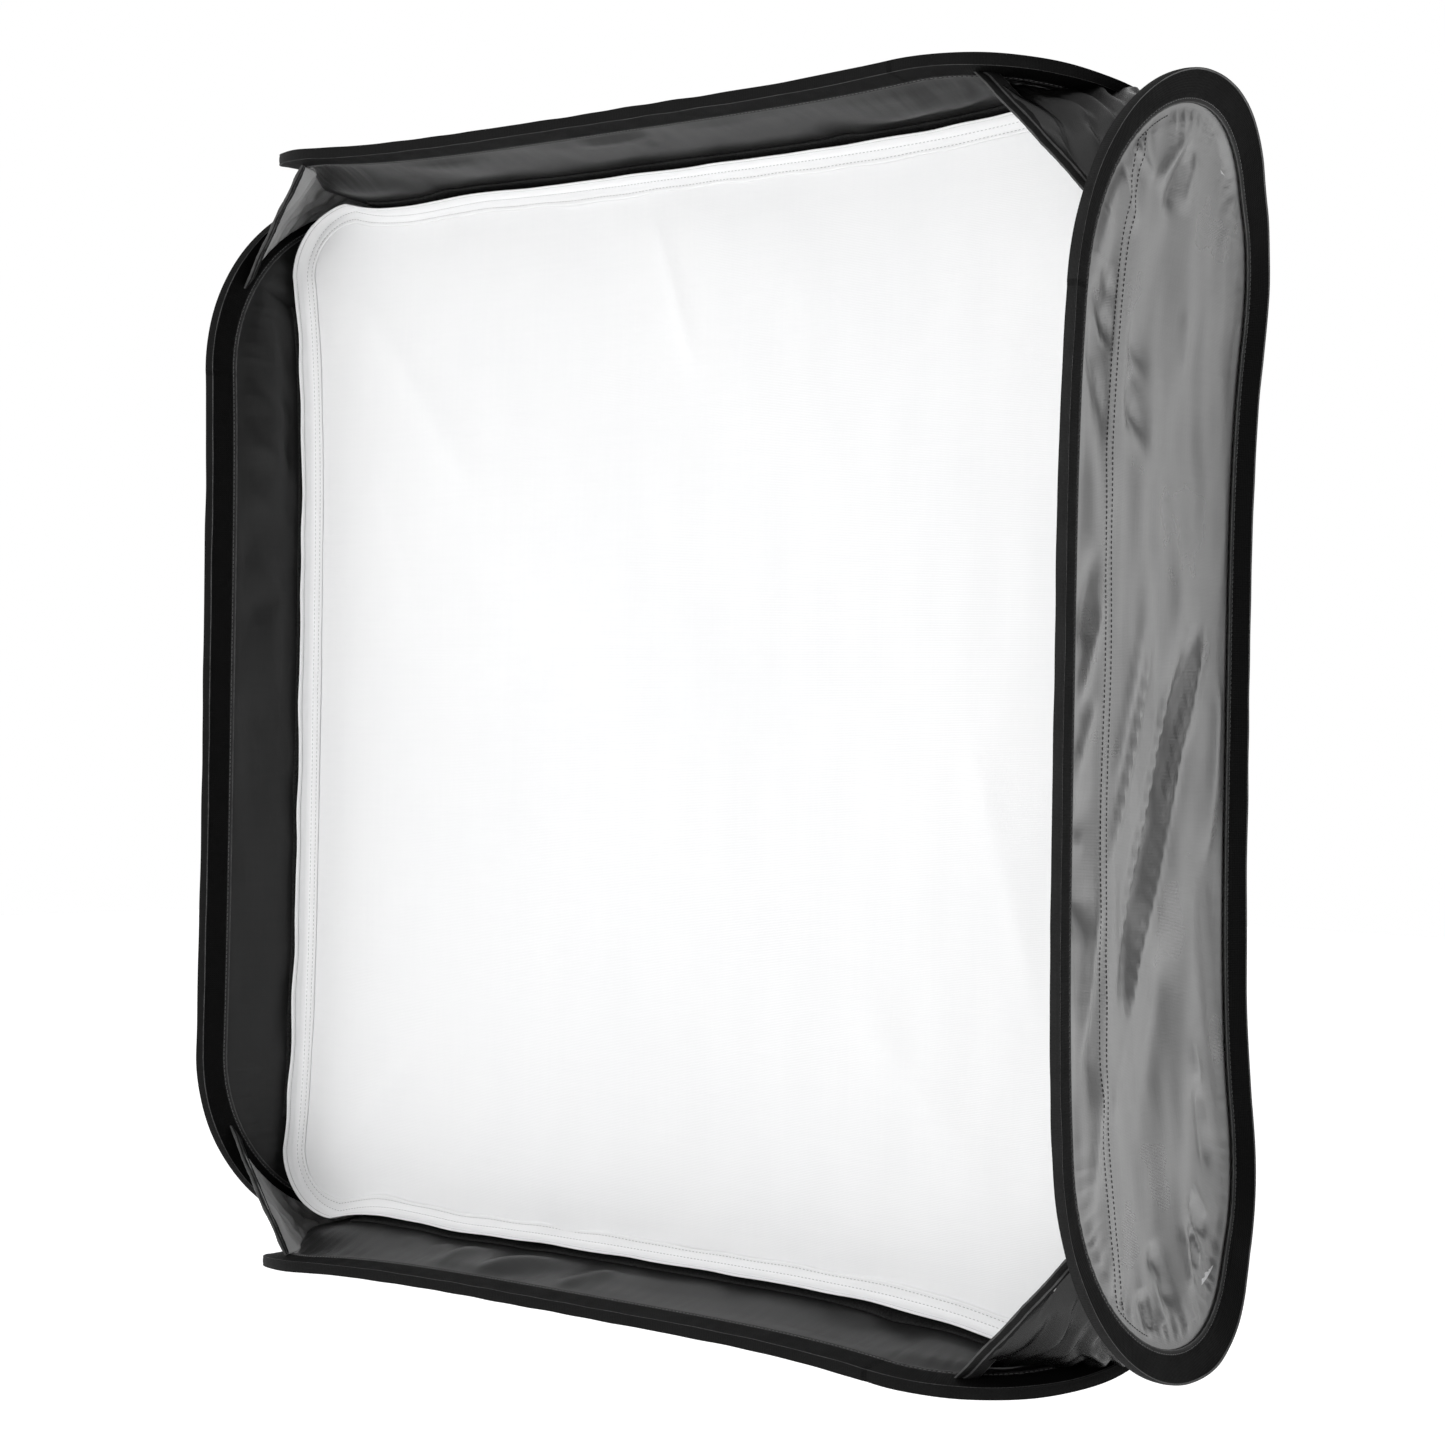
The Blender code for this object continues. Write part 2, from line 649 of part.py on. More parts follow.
def build():
    clear_scene()
    pivots = {
        "bottom": empty("bottom_pivot", Vector((0, APEX_Y + FRONT_Y, 0))),
        "left": empty("left_pivot", seam(*SEAM_BOTTOM_LEFT)),
        "right": empty("right_pivot", seam(*SEAM_BOTTOM_RIGHT)),
        "top": empty("top_pivot", seam(*SEAM_TOP_LEFT)),
    }
    for name, wall in WALLS.items():
        wall_fabric(wall, pivots[name])
        wall_binding(wall, pivots[name])
        wall_hoop(wall, pivots[name])
        hook_strip(wall, pivots[name])
        rear_panel(wall, None)
    owner = {"top_left": "left", "top_right": "right", "bottom_right": "bottom", "bottom_left": "bottom"}
    for corner, wall in owner.items():
        gusset(corner, pivots[wall])
        gusset_tape(corner, pivots[wall])
    front = empty("diffuser_pivot", Vector((0, DIFFUSER_Y + FRONT_Y, 0)))
    diffuser_sheet(front)
    diffuser_border(front)
    cutter = screw_cutter()
    cut(adapter_ring(), cutter)
    cut(retainer_ring(), cutter)
    retainer_screws()
    rear_collar()
    clamp_band()
    turning = empty("bayonet_pivot", Vector((0, 0, 0)))
    bayonet_plate(turning)
    bayonet_lugs(turning)
    lock_knob(empty("knob_pivot", Vector((-RING_OUTER, RING_BACK - 0.0026, 0))))


build()
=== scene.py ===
"""Looks of the pop-up softbox: ribbed binding tapes, satin walls, white diffuser and rear cone.

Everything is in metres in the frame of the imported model: +Z up, the front towards -Y, and the origin in the
middle of the bayonet plate's rear face. On a wall, s runs along it, y runs back from the front stitch line
and n points away from the softbox axis.
"""
import math

import bmesh
import bpy
import numpy as np
from mathutils import Matrix, Vector


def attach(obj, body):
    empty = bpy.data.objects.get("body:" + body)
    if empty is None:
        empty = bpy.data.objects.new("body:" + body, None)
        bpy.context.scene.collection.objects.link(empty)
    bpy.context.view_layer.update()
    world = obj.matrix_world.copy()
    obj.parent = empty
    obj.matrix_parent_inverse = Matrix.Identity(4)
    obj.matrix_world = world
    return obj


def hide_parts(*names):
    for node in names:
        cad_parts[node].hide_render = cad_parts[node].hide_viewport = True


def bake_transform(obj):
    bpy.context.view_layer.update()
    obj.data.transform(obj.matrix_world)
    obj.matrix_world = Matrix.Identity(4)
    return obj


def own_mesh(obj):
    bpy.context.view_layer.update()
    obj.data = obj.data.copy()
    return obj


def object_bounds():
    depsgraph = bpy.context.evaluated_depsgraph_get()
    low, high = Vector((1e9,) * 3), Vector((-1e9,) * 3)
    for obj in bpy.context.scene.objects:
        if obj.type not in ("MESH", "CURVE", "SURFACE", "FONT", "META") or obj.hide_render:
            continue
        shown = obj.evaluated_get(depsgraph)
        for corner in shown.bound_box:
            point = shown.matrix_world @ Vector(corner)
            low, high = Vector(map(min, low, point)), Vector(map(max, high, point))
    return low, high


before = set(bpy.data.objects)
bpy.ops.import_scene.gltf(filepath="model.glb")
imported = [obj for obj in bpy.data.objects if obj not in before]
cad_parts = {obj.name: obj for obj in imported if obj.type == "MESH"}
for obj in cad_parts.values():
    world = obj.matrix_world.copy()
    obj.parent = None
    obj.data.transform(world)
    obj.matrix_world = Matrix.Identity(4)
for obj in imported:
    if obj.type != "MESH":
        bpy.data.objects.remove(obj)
cad_low, cad_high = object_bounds()

# ---- driving dimensions, the same as the model's apart from GUSSET_INSET ----
FRONT_Y = -0.440            # front stitch plane
TAPER = 0.29                # how fast a wall leans inwards towards the rear
FLARE_REACH = 0.39          # distance from a wall's middle at which its flare is given
FRONT_LINE = -0.0045        # y of the walls' front stitch lines
RIM = 0.0205                # binding tape, from its stitch line out to its rim
RIM_HALF = 0.0034           # half the width of the tape's outer face
REAR_LEAN = 0.35            # how far the rear half of a binding leans outwards, as a share of its width
TAPE = 0.0010               # thickness of the folded tape
FABRIC = 0.0009             # thickness of the wall fabric
SLIT = 0.00085              # half of the slot between the tape's two lips
DIFFUSER_Y = 0.052          # how far the diffuser lies behind the front stitch plane
BORDER_WIDTH = 0.0126       # of the diffuser's hem, in the plane of the sheet
FLANGE_WIDTH = 0.011        # and turned forwards along the walls
HEM_THICK = 0.0010
HOOK_THICK = 0.0012
HOOK_FRONT, HOOK_REAR, HOOK_REACH = 0.010, 0.006, 0.300     # hook strip, about the diffuser's plane
CORNER_ROUND = 0.050        # of the diffuser
DIFFUSER_HALF = 0.372
GAP = 0.0004                # between parts that lie on each other
GUSSET_LEAD = 0.009         # gussets are sewn on to the tapes, this far outside the stitch lines
GUSSET_INSET = 0.0050       # and this far inside the walls, a little less than the model's 0.0056
GUSSET_TURN = 66            # degrees of the hoops' front corner that a gusset covers
GUSSET_TAPE = 0.0135
COLLAR_RADIUS = 0.0845      # where the cone meets its cuff
RING_Y = 0.398              # front of the adapter ring, behind the front stitch plane
RING_BACK = -0.016          # y of its rear face
RING_OUTER = 0.0800

# ---- places of the visual pieces ----
STITCH_ROW = 0.0032         # stitches of a binding tape, from its stitch line
SEAM_ROWS = (0.0400, 0.0490)    # y of the two seams that hold a hook strip
WEB_LAP = 0.0150            # how far a gusset web's lying side moves in, on to the wall's cloth
WEB_LIFT = 0.0012           # and how far inside the cloth's middle it stays there
WEB_BEHIND = 0.052          # how far the left webs reach behind the tips
CONE_LAP = 0.0025           # the cone's outer edge lies this far in front of the rear stitch lines
CONE_SINK = 0.0013          # and this far inside them
FLOOR_DROP = 0.35           # the softbox hangs on its light, this far above the floor

# ---- fineness of the meshes ----
STEP = 0.004                # spacing of sections along a hoop
COLUMNS, ROWS = 380, 54     # of a wall's fabric


# ================= shapes =================
def smooth(t):
    t = np.clip(t, 0.0, 1.0)
    return t * t * (3 - 2 * t)


def ripple(a, b, seed, wavelength, stretch=(1.0, 1.0), waves=14):
    """Smooth irregular waves over two coordinates, about one unit high."""
    rng = np.random.default_rng(seed)
    total = np.zeros(np.broadcast(a, b).shape)
    for _ in range(waves):
        turn, phase = rng.uniform(0, math.tau, 2)
        k = math.tau / wavelength * rng.uniform(0.6, 1.5)
        across = math.cos(turn) * a * stretch[0] + math.sin(turn) * b * stretch[1]
        total = total + np.sin(k * across + phase)
    return total / math.sqrt(waves)


def crease(s, y, line, height):
    """One pulled crease, a narrow ridge that fades at both ends. line is s0, y0, s1, y1, width."""
    s0, y0, s1, y1, width = line
    ds, dy = s1 - s0, y1 - y0
    length = math.hypot(ds, dy)
    t = ((s - s0) * ds + (y - y0) * dy) / length ** 2
    off = ((s - s0) * dy - (y - y0) * ds) / length
    along = smooth(np.minimum(t, 1 - t) / 0.3)
    return height * along * np.exp(1 - np.sqrt(1 + (2 * off / width) ** 2))


class Wall:
    """Outline and bow of one hoop, as in the model."""

    def __init__(self, name, axis, sign, front, rear, depth, centre, half, flares, eases):
        self.name = name
        self.axis = axis
        self.sign = sign
        self.front = front          # (half length, corner radius) at the front stitch line
        self.rear = rear
        self.depth = depth
        self.centre = centre
        self.half = half
        self.flares = flares
        self.eases = eases
        self.body = name + "_wall"
        self.line = self.outline()

    def height(self, s, y):
        e = (s / FLARE_REACH) ** 4
        flare = np.where(s > 0, self.flares[1], self.flares[0])
        ease = np.where(s > 0, self.eases[1], self.eases[0])
        return self.half + flare * e - TAPER * y * (1 - ease * np.minimum(e, 1.0))

    def place(self, s, y, n=0.0):
        """Points (..., 3) for arrays of s, y and n."""
        s, y, n = np.broadcast_arrays(np.asarray(s, float), y, n)
        h = (self.height(s, y) + n) * self.sign
        columns = (s, y + FRONT_Y, h) if self.axis == "z" else (h, y + FRONT_Y, s)
        return np.stack(columns, axis=-1)

    def outward(self):
        return np.array((0, 0, self.sign) if self.axis == "z" else (self.sign, 0, 0), float)

    def outline(self):
        """Stitch line as rows of s, y, normal s, normal y and the length so far."""
        (fl, fr), (rl, rr) = self.front, self.rear
        circles = [(fl - fr, FRONT_LINE + fr, fr), (rl - rr, self.depth - rr, rr),
                   (rr - rl, self.depth - rr, rr), (fr - fl, FRONT_LINE + fr, fr)]
        angles = []
        for (x0, y0, r0), (x1, y1, r1) in zip(circles, circles[1:] + circles[:1]):
            length = math.hypot(x1 - x0, y1 - y0)
            angles.append(math.atan2(y1 - y0, x1 - x0) - math.pi / 2 + math.asin((r0 - r1) / length))
        corners = []
        for i, (cx, cy, r) in enumerate(circles):
            start, stop = angles[i - 1], angles[i]
            while stop < start:
                stop += math.tau
            a = np.linspace(start, stop, max(6, round((stop - start) * r / STEP)))
            corners.append(np.stack([cx + r * np.cos(a) + self.centre, cy + r * np.sin(a),
                                     np.cos(a), np.sin(a)], axis=1))
        pieces = []
        for corner, following in zip(corners, corners[1:] + corners[:1]):
            a, b = corner[-1], following[0]
            count = max(1, round(math.hypot(b[0] - a[0], b[1] - a[1]) / STEP))
            t = np.linspace(0, 1, count + 1)[1:-1, None]
            pieces += [corner, a + (b - a) * t]
        line = np.concatenate(pieces)
        steps = np.linalg.norm(np.diff(line[:, :2], axis=0), axis=1)
        return np.column_stack([line, np.concatenate([[0], np.cumsum(steps)])])

    def edges(self, s, grow):
        """y of the front and rear edge at s, for the stitch line moved outwards by grow."""
        xs = self.line[:, 0] + self.line[:, 2] * grow
        ys = self.line[:, 1] + self.line[:, 3] * grow
        tip, other = int(np.argmax(xs)), int(np.argmin(xs))
        count = len(xs)
        rear = np.arange(tip, other + 1 if other > tip else other + count + 1) % count
        front = np.arange(other, tip + 1 if tip > other else tip + count + 1) % count
        return (np.interp(s, xs[front], ys[front]), np.interp(s, xs[rear[::-1]], ys[rear[::-1]]))


WALLS = {
    "top": Wall("top", "z", 1, (0.3585, 0.0895), (0.3405, 0.0945), 0.2385, -0.010, 0.382,
                (0.028, 0.020), (1.0, 0.0)),
    "bottom": Wall("bottom", "z", -1, (0.3585, 0.0925), (0.3405, 0.0945), 0.2385, -0.010, 0.379,
                   (0.030, 0.036), (1.0, 0.0)),
    "left": Wall("left", "x", -1, (0.3675, 0.1195), (0.3305, 0.0985), 0.2385, 0.0, 0.385,
                 (0.012, 0.022), (0.6, 0.6)),
    "right": Wall("right", "x", 1, (0.3745, 0.1195), (0.3485, 0.1005), 0.2495, 0.0, 0.386,
                  (0.028, 0.028), (0.25, 0.25)),
}
# Each corner: the lying wall, the standing wall, their signs along X and Z, and where its gusset
# starts on the two hoops, from the softbox axis.
CORNERS = {
    "top_left": ("top", "left", -1, 1, (0.311, 0.306)),
    "top_right": ("top", "right", 1, 1, (0.300, 0.300)),
    "bottom_right": ("bottom", "right", 1, -1, (0.300, 0.300)),
    "bottom_left": ("bottom", "left", -1, -1, (0.311, 0.300)),
}


def tape_profile():
    """Closed outline of the folded tape: lips, ribbed sides and rolled rim edges.

    Gives its points' r, n and width so far, and the widths at the rim and at the middle of the rim's face.
    """
    t = np.linspace(0, 1, 40)
    lip = 0.0005
    r = lip + (RIM - 0.0008 - lip) * t
    n = SLIT + TAPE + (RIM_HALF - SLIT - TAPE) * t
    ribs = 0.00011 * np.cos(math.tau * r / 0.0016) * smooth((t - 0.24) / 0.08)
    n = n + ribs - 0.0004 * np.exp(-((r - STITCH_ROW) / 0.0008) ** 2)
    ridge = [(RIM - 0.0003, RIM_HALF + 0.0003), (RIM + 0.0003, RIM_HALF + 0.0002),
             (RIM + 0.0004, RIM_HALF - 0.0004)]
    across = np.linspace(1, -1, 29)[1:-1] * (RIM_HALF - 0.0007)
    bow = 0.0005 * (1 - (across / RIM_HALF) ** 2)
    face = RIM + bow + 0.00010 * np.cos(math.tau * across / 0.00095)
    upper = list(zip(r, n)) + ridge
    lower = [(a, -b) for a, b in upper[::-1]]
    inner = [(lip, -SLIT), (RIM - 0.0019, 0.0016 - RIM_HALF),
             (RIM - 0.0019, RIM_HALF - 0.0016), (lip, SLIT)]
    points = np.array(upper + list(zip(face, across)) + lower + inner)
    widths = np.concatenate([[0], np.cumsum(np.linalg.norm(np.diff(points, axis=0), axis=1))])
    return points[:, 0], points[:, 1], widths, (widths[len(r)], widths[len(upper) + len(face) // 2])


# ================= mesh helpers =================
def add_object(name, data):
    item = bpy.data.objects.new(name, data)
    bpy.context.scene.collection.objects.link(item)
    return item


def make_piece(name, points, faces, materials, face_slots=None, uv=None):
    """Mesh object from arrays, with its faces turned outwards and shaded smooth."""
    points = np.asarray(points, float).reshape(-1, 3)
    mesh = bpy.data.meshes.new(name)
    mesh.from_pydata(points.tolist(), [], faces)
    for mat in materials:
        mesh.materials.append(mat)
    if face_slots is not None:
        mesh.polygons.foreach_set("material_index", np.asarray(face_slots, np.int32))
    if uv is not None:
        layer = mesh.uv_layers.new(name="cloth")
        corner = np.zeros(len(mesh.loops), np.int32)
        mesh.loops.foreach_get("vertex_index", corner)
        layer.data.foreach_set("uv", np.asarray(uv, np.float32).reshape(-1, 2)[corner].ravel())
    bm = bmesh.new()
    bm.from_mesh(mesh)
    if bm.calc_volume(signed=True) < 0:
        bmesh.ops.reverse_faces(bm, faces=bm.faces)
    bm.to_mesh(mesh)
    bm.free()
    mesh.shade_smooth()
    return add_object(name, mesh)


def quads(rows, cols, wrap_rows=False, wrap_cols=False, first=0):
    """Faces of a grid of vertices numbered row by row from first."""
    i = np.arange(rows if wrap_rows else rows - 1)
    j = np.arange(cols if wrap_cols else cols - 1)
    i, j = np.meshgrid(i, j, indexing="ij")
    i2, j2 = (i + 1) % rows, (j + 1) % cols
    corners = [i * cols + j, i2 * cols + j, i2 * cols + j2, i * cols + j2]
    return (np.stack(corners, axis=-1).reshape(-1, 4) + first).tolist()


def grid_normals(grid, wrap=False):
    """Unit normals of a grid of points."""
    if wrap:
        along = np.roll(grid, -1, axis=0) - np.roll(grid, 1, axis=0)
    else:
        along = np.gradient(grid, axis=0)
    normals = np.cross(along, np.gradient(grid, axis=1))
    return normals / np.maximum(np.linalg.norm(normals, axis=-1, keepdims=True), 1e-12)


def by_side(normals, outwards, outer, inner):
    """Two finishes in cloth_piece's order, with outer on the side that faces outwards."""
    facing_out = float(np.median((normals * outwards).sum(axis=-1))) > 0
    return (outer, inner) if facing_out else (inner, outer)


def spread(u, v):
    """Texture coordinates of a grid from those of its rows and columns."""
    return np.stack(np.broadcast_arrays(u[:, None], v[None, :]), axis=-1)


def cloth_piece(name, grid, thickness, materials, uv, wrap=False):
    """Closed thin sheet on a grid. materials is (side along the normals, other side)."""
    rows, cols = grid.shape[:2]
    push = grid_normals(grid, wrap) * (thickness / 2)
    points = np.concatenate([(grid + push).reshape(-1, 3), (grid - push).reshape(-1, 3)])
    count = rows * cols
    upper = quads(rows, cols, wrap_rows=wrap)
    lower = [face[::-1] for face in quads(rows, cols, wrap_rows=wrap, first=count)]
    index = np.arange(count).reshape(rows, cols)
    if wrap:
        borders = [np.append(index[:, 0], index[0, 0]), np.append(index[:, -1], index[0, -1])[::-1]]
    else:
        borders = [np.concatenate([index[:, 0], index[-1, 1:], index[::-1, -1][1:], index[0, ::-1][1:]])]
    rim = []
    for border in borders:
        for a, b in zip(border[:-1].tolist(), border[1:].tolist()):
            rim.append([a, a + count, b + count, b])
    slots = [0] * len(upper) + [1] * len(lower) + [0] * len(rim)
    uv = np.concatenate([np.asarray(uv).reshape(-1, 2)] * 2)
    return make_piece(name, points, upper + lower + rim, materials, slots, uv)


def swept_piece(name, sections, finish, uv):
    """Closed ring of closed sections (sections, profile points, 3)."""
    rows, cols = sections.shape[:2]
    faces = quads(rows, cols, wrap_rows=True, wrap_cols=True)
    return make_piece(name, sections, faces, [finish], uv=uv)


def resampled(points, pitch, closed):
    """Points a pitch apart along a polyline."""
    if closed:
        points = np.concatenate([points, points[:1]])
    along = np.concatenate([[0], np.cumsum(np.linalg.norm(np.diff(points, axis=0), axis=1))])
    count = max(2, round(along[-1] / pitch))
    at = np.linspace(0, along[-1], count + 1)[: count if closed else count + 1]
    return np.stack([np.interp(at, along, points[:, k]) for k in range(points.shape[1])], axis=1)


def stitching(name, runs, thread, body, pitch=0.0031, length=0.0026, radius=0.00030):
    """Rows of thread stitches. Each run is (points, surface normals, closed)."""
    all_points, faces = [], []
    sides = 5
    turn = np.arange(sides) * math.tau / sides
    base = 0
    for points, normals, closed in runs:
        both = resampled(np.concatenate([points, normals], axis=1), pitch, closed)
        centre, up = both[:, :3], both[:, 3:]
        tangent = np.roll(centre, -1, axis=0) - np.roll(centre, 1, axis=0)
        if not closed:
            tangent = np.gradient(centre, axis=0)
        tangent /= np.linalg.norm(tangent, axis=1, keepdims=True)
        up = up / np.linalg.norm(up, axis=1, keepdims=True)
        side = np.cross(tangent, up)
        for k in range(len(centre)):
            c, t, u, w = centre[k], tangent[k], up[k], side[k]
            ring = [c - t * length / 2 - u * radius]
            for shift in (-0.25, 0.25):
                middle = c + t * length * shift + u * radius * 0.45
                ring += [middle + (u * math.cos(a) + w * math.sin(a)) * radius for a in turn]
            ring.append(c + t * length / 2 - u * radius)
            all_points += ring
            for i in range(sides):
                j = (i + 1) % sides
                faces.append([base, base + 1 + j, base + 1 + i])
                faces.append([base + 1 + i, base + 1 + j, base + 1 + sides + j, base + 1 + sides + i])
                faces.append([base + 1 + sides + i, base + 1 + sides + j, base + 1 + 2 * sides])
            base += 2 + 2 * sides
    item = make_piece(name, np.array(all_points), faces, [thread])
    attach(item, body)
    return item


# ================= materials =================
class Surface:
    """A Principled material with short calls for its nodes."""

    def __init__(self, name, roughness, metallic=0.0, **sockets):
        self.mat = bpy.data.materials.new(name)
        self.mat.use_nodes = True
        self.tree = self.mat.node_tree
        self.shader = self.tree.nodes["Principled BSDF"]
        self.shader.inputs["Roughness"].default_value = roughness
        self.shader.inputs["Metallic"].default_value = metallic
        for socket, value in sockets.items():
            self.shader.inputs[socket.replace("_", " ")].default_value = value

    def node(self, kind, settings=(), **inputs):
        made = self.tree.nodes.new(kind)
        for key, value in settings:
            setattr(made, key, value)
        for key, value in inputs.items():
            self.feed(made.inputs[key.replace("_", " ")], value)
        return made

    def feed(self, socket, value):
        if isinstance(value, bpy.types.NodeSocket):
            self.tree.links.new(value, socket)
        else:
            socket.default_value = value

    def cloth(self, scale=(1, 1, 1)):
        """The cloth's own coordinates in metres, times scale."""
        uv = self.node("ShaderNodeUVMap", [("uv_map", "cloth")]).outputs["UV"]
        return self.node("ShaderNodeMapping", Vector=uv, Scale=scale).outputs["Vector"]

    def space(self, scale=(1, 1, 1)):
        """The piece's own coordinates in metres, times scale."""
        place = self.node("ShaderNodeTexCoord").outputs["Object"]
        return self.node("ShaderNodeMapping", Vector=place, Scale=scale).outputs["Vector"]

    def noise(self, vector, scale, detail=3.0, roughness=0.55):
        return self.node("ShaderNodeTexNoise", Vector=vector, Scale=scale, Detail=detail,
                         Roughness=roughness).outputs["Fac"]

    def wave(self, vector, scale, direction="X", distortion=0.0):
        return self.node("ShaderNodeTexWave", [("bands_direction", direction)], Vector=vector, Scale=scale,
                         Distortion=distortion).outputs["Fac"]

    def math(self, operation, a, b):
        made = self.tree.nodes.new("ShaderNodeMath")
        made.operation = operation
        for socket, value in zip(made.inputs, (a, b)):
            self.feed(socket, value)
        return made.outputs[0]

    def ramp(self, value, stops):
        """Colours from (position, grey or colour) pairs."""
        made = self.node("ShaderNodeValToRGB", Fac=value)
        band = made.color_ramp
        while len(band.elements) < len(stops):
            band.elements.new(0.5)
        for element, (position, colour) in zip(band.elements, stops):
            element.position = position
            rgb = colour if isinstance(colour, tuple) else (colour,) * 3
            element.color = (*rgb, 1.0)
        return made.outputs["Color"]

    def colour(self, socket):
        self.tree.links.new(socket, self.shader.inputs["Base Color"])

    def rough(self, value, low, high):
        spread = self.node("ShaderNodeMapRange", Value=value, To_Min=low, To_Max=high).outputs["Result"]
        self.tree.links.new(spread, self.shader.inputs["Roughness"])

    def bump(self, heights):
        """heights is a list of (socket, distance in metres)."""
        normal = None
        for height, distance in heights:
            bump = self.node("ShaderNodeBump", Height=height, Distance=distance, Strength=1.0)
            if normal is not None:
                self.tree.links.new(normal, bump.inputs["Normal"])
            normal = bump.outputs["Normal"]
        self.tree.links.new(normal, self.shader.inputs["Normal"])


def woven_tape(made, cloth):
    """Cross threads, worn patches and fine speckle of a woven tape."""
    return made.wave(cloth, 210.0, "X", 0.6), made.noise(cloth, 60.0, 4.0), made.noise(cloth, 900.0, 2.0)


def grosgrain(name, side, face, pale):
    """Woven tape: fine cross ribs, darker sides, a paler outer face and lips, and a painted highlight along
    the rolled rim edge.
    """
    made = Surface(name, 0.62, Specular_IOR_Level=0.05)
    cloth = made.cloth()
    threads, worn, speckle = woven_tape(made, cloth)
    across = made.node("ShaderNodeSeparateXYZ", Vector=cloth).outputs["Y"]
    rim, middle = tape_profile()[3]
    off = made.math("ABSOLUTE", made.math("SUBTRACT", across, middle), 0.0)
    on_face = made.math("LESS_THAN", off, middle - rim - 0.0002)
    from_rim = made.math("ABSOLUTE", made.math("SUBTRACT", off, middle - rim + 0.0002), 0.0)
    at_rim = made.math("LESS_THAN", from_rim, 0.0005)
    lip = made.math("GREATER_THAN", off, middle - 0.0034)
    at_lip = made.math("GREATER_THAN", off, middle - 0.0008)
    grain = made.math("ADD", made.math("MULTIPLY", worn, 0.7), made.math("MULTIPLY", speckle, 0.6))
    level = made.math("ADD", side, made.math("MULTIPLY", on_face, face - side))
    level = made.math("ADD", level, made.math("MULTIPLY", lip, (pale - side) * 0.22))
    # The rolled rim edge is drawn pale: a painted highlight along the ridge, broken up by the worn patches.
    painted_rim_highlight = made.math("MULTIPLY", at_rim, pale - side)
    lip_edge = made.math("MULTIPLY", at_lip, (pale - side) * 0.5)
    edges = made.math("ADD", painted_rim_highlight, lip_edge)
    level = made.math("ADD", level, made.math("MULTIPLY", edges, grain))
    level = made.math("MULTIPLY", level, made.math("ADD", grain, 0.35))
    tint = made.node("ShaderNodeCombineColor", Red=level, Green=level, Blue=level).outputs["Color"]
    made.colour(tint)
    made.rough(worn, 0.52, 0.76)
    made.bump([(threads, 0.00010), (speckle, 0.00008)])
    return made.mat


def web_binding(name, dark, light):
    """Narrow woven tape of the gussets, with a pale groove along its middle and edges."""
    made = Surface(name, 0.60, Specular_IOR_Level=0.06)
    threads, worn, speckle = woven_tape(made, made.cloth())
    mixed = made.math("ADD", made.math("MULTIPLY", worn, 0.6), made.math("MULTIPLY", speckle, 0.4))
    made.colour(made.ramp(mixed, [(0.25, dark), (0.75, light)]))
    made.rough(worn, 0.50, 0.75)
    made.bump([(threads, 0.00010), (speckle, 0.00008)])
    return made.mat


def satin(name, low, high, roughness, sheen, gloss, lustre=0.0):
    """Plain-woven nylon: a fine thread grid, faint slubs along the warp and soft shade variation."""
    made = Surface(name, roughness, lustre, Sheen_Weight=sheen, Sheen_Roughness=0.35,
                   Specular_IOR_Level=gloss)
    cloth = made.cloth()
    slubs = made.noise(made.cloth((14.0, 520.0, 1.0)), 1.0, 3.0)
    weft = made.noise(made.cloth((520.0, 14.0, 1.0)), 1.0, 3.0)
    cloud = made.noise(cloth, 9.0, 4.0)
    warp_threads = made.wave(cloth, 360.0, "X", 0.4)
    weft_threads = made.wave(cloth, 360.0, "Y", 0.4)
    shade = made.math("ADD", made.math("MULTIPLY", cloud, 0.6),
                      made.math("MULTIPLY", made.math("ADD", slubs, weft), 0.2))
    made.colour(made.ramp(shade, [(0.25, low), (0.75, high)]))
    made.rough(cloud, roughness - 0.02, roughness + 0.04)
    made.bump([(made.math("ADD", warp_threads, weft_threads), 0.00003),
               (made.math("ADD", slubs, weft), 0.00005)])
    return made.mat


def diffuser_cloth():
    """White ripstop-free diffusion silk, a fine even weave with faint thick and thin threads."""
    made = Surface("white_diffusion_cloth", 0.9, Sheen_Weight=0.15, Sheen_Roughness=0.5,
                   Specular_IOR_Level=0.2)
    cloth = made.cloth()
    slubs = made.noise(made.cloth((10.0, 420.0, 1.0)), 1.0, 3.0)
    weft = made.noise(made.cloth((420.0, 10.0, 1.0)), 1.0, 3.0)
    cloud = made.noise(cloth, 6.0, 3.0)
    both = made.math("MULTIPLY", made.math("ADD", slubs, weft), 0.5)
    shade = made.math("ADD", made.math("MULTIPLY", both, 0.5), made.math("MULTIPLY", cloud, 0.5))
    made.colour(made.ramp(shade, [(0.2, (0.90, 0.905, 0.915)), (0.8, (0.955, 0.955, 0.955))]))
    threads = made.math("ADD", made.wave(cloth, 300.0, "X", 0.3), made.wave(cloth, 300.0, "Y", 0.3))
    made.bump([(threads, 0.00004), (both, 0.00006)])
    return made.mat


def silver_lining():
    made = Surface("silver_lining", 0.38, 0.75)
    cloth = made.cloth()
    crinkle = made.noise(cloth, 70.0, 6.0, 0.65)
    made.colour(made.ramp(crinkle, [(0.3, (0.60, 0.60, 0.61)), (0.7, (0.78, 0.78, 0.79))]))
    made.rough(crinkle, 0.28, 0.48)
    made.bump([(crinkle, 0.0006), (made.wave(cloth, 320.0, "X", 0.4), 0.00004)])
    return made.mat


def thread(name, colour):
    made = Surface(name, 0.6, Sheen_Weight=0.3)
    twist = made.wave(made.space(), 900.0, "DIAGONAL")
    made.colour(made.ramp(twist, [(0.2, colour * 0.7), (0.8, colour)]))
    made.bump([(twist, 0.00005)])
    return made.mat


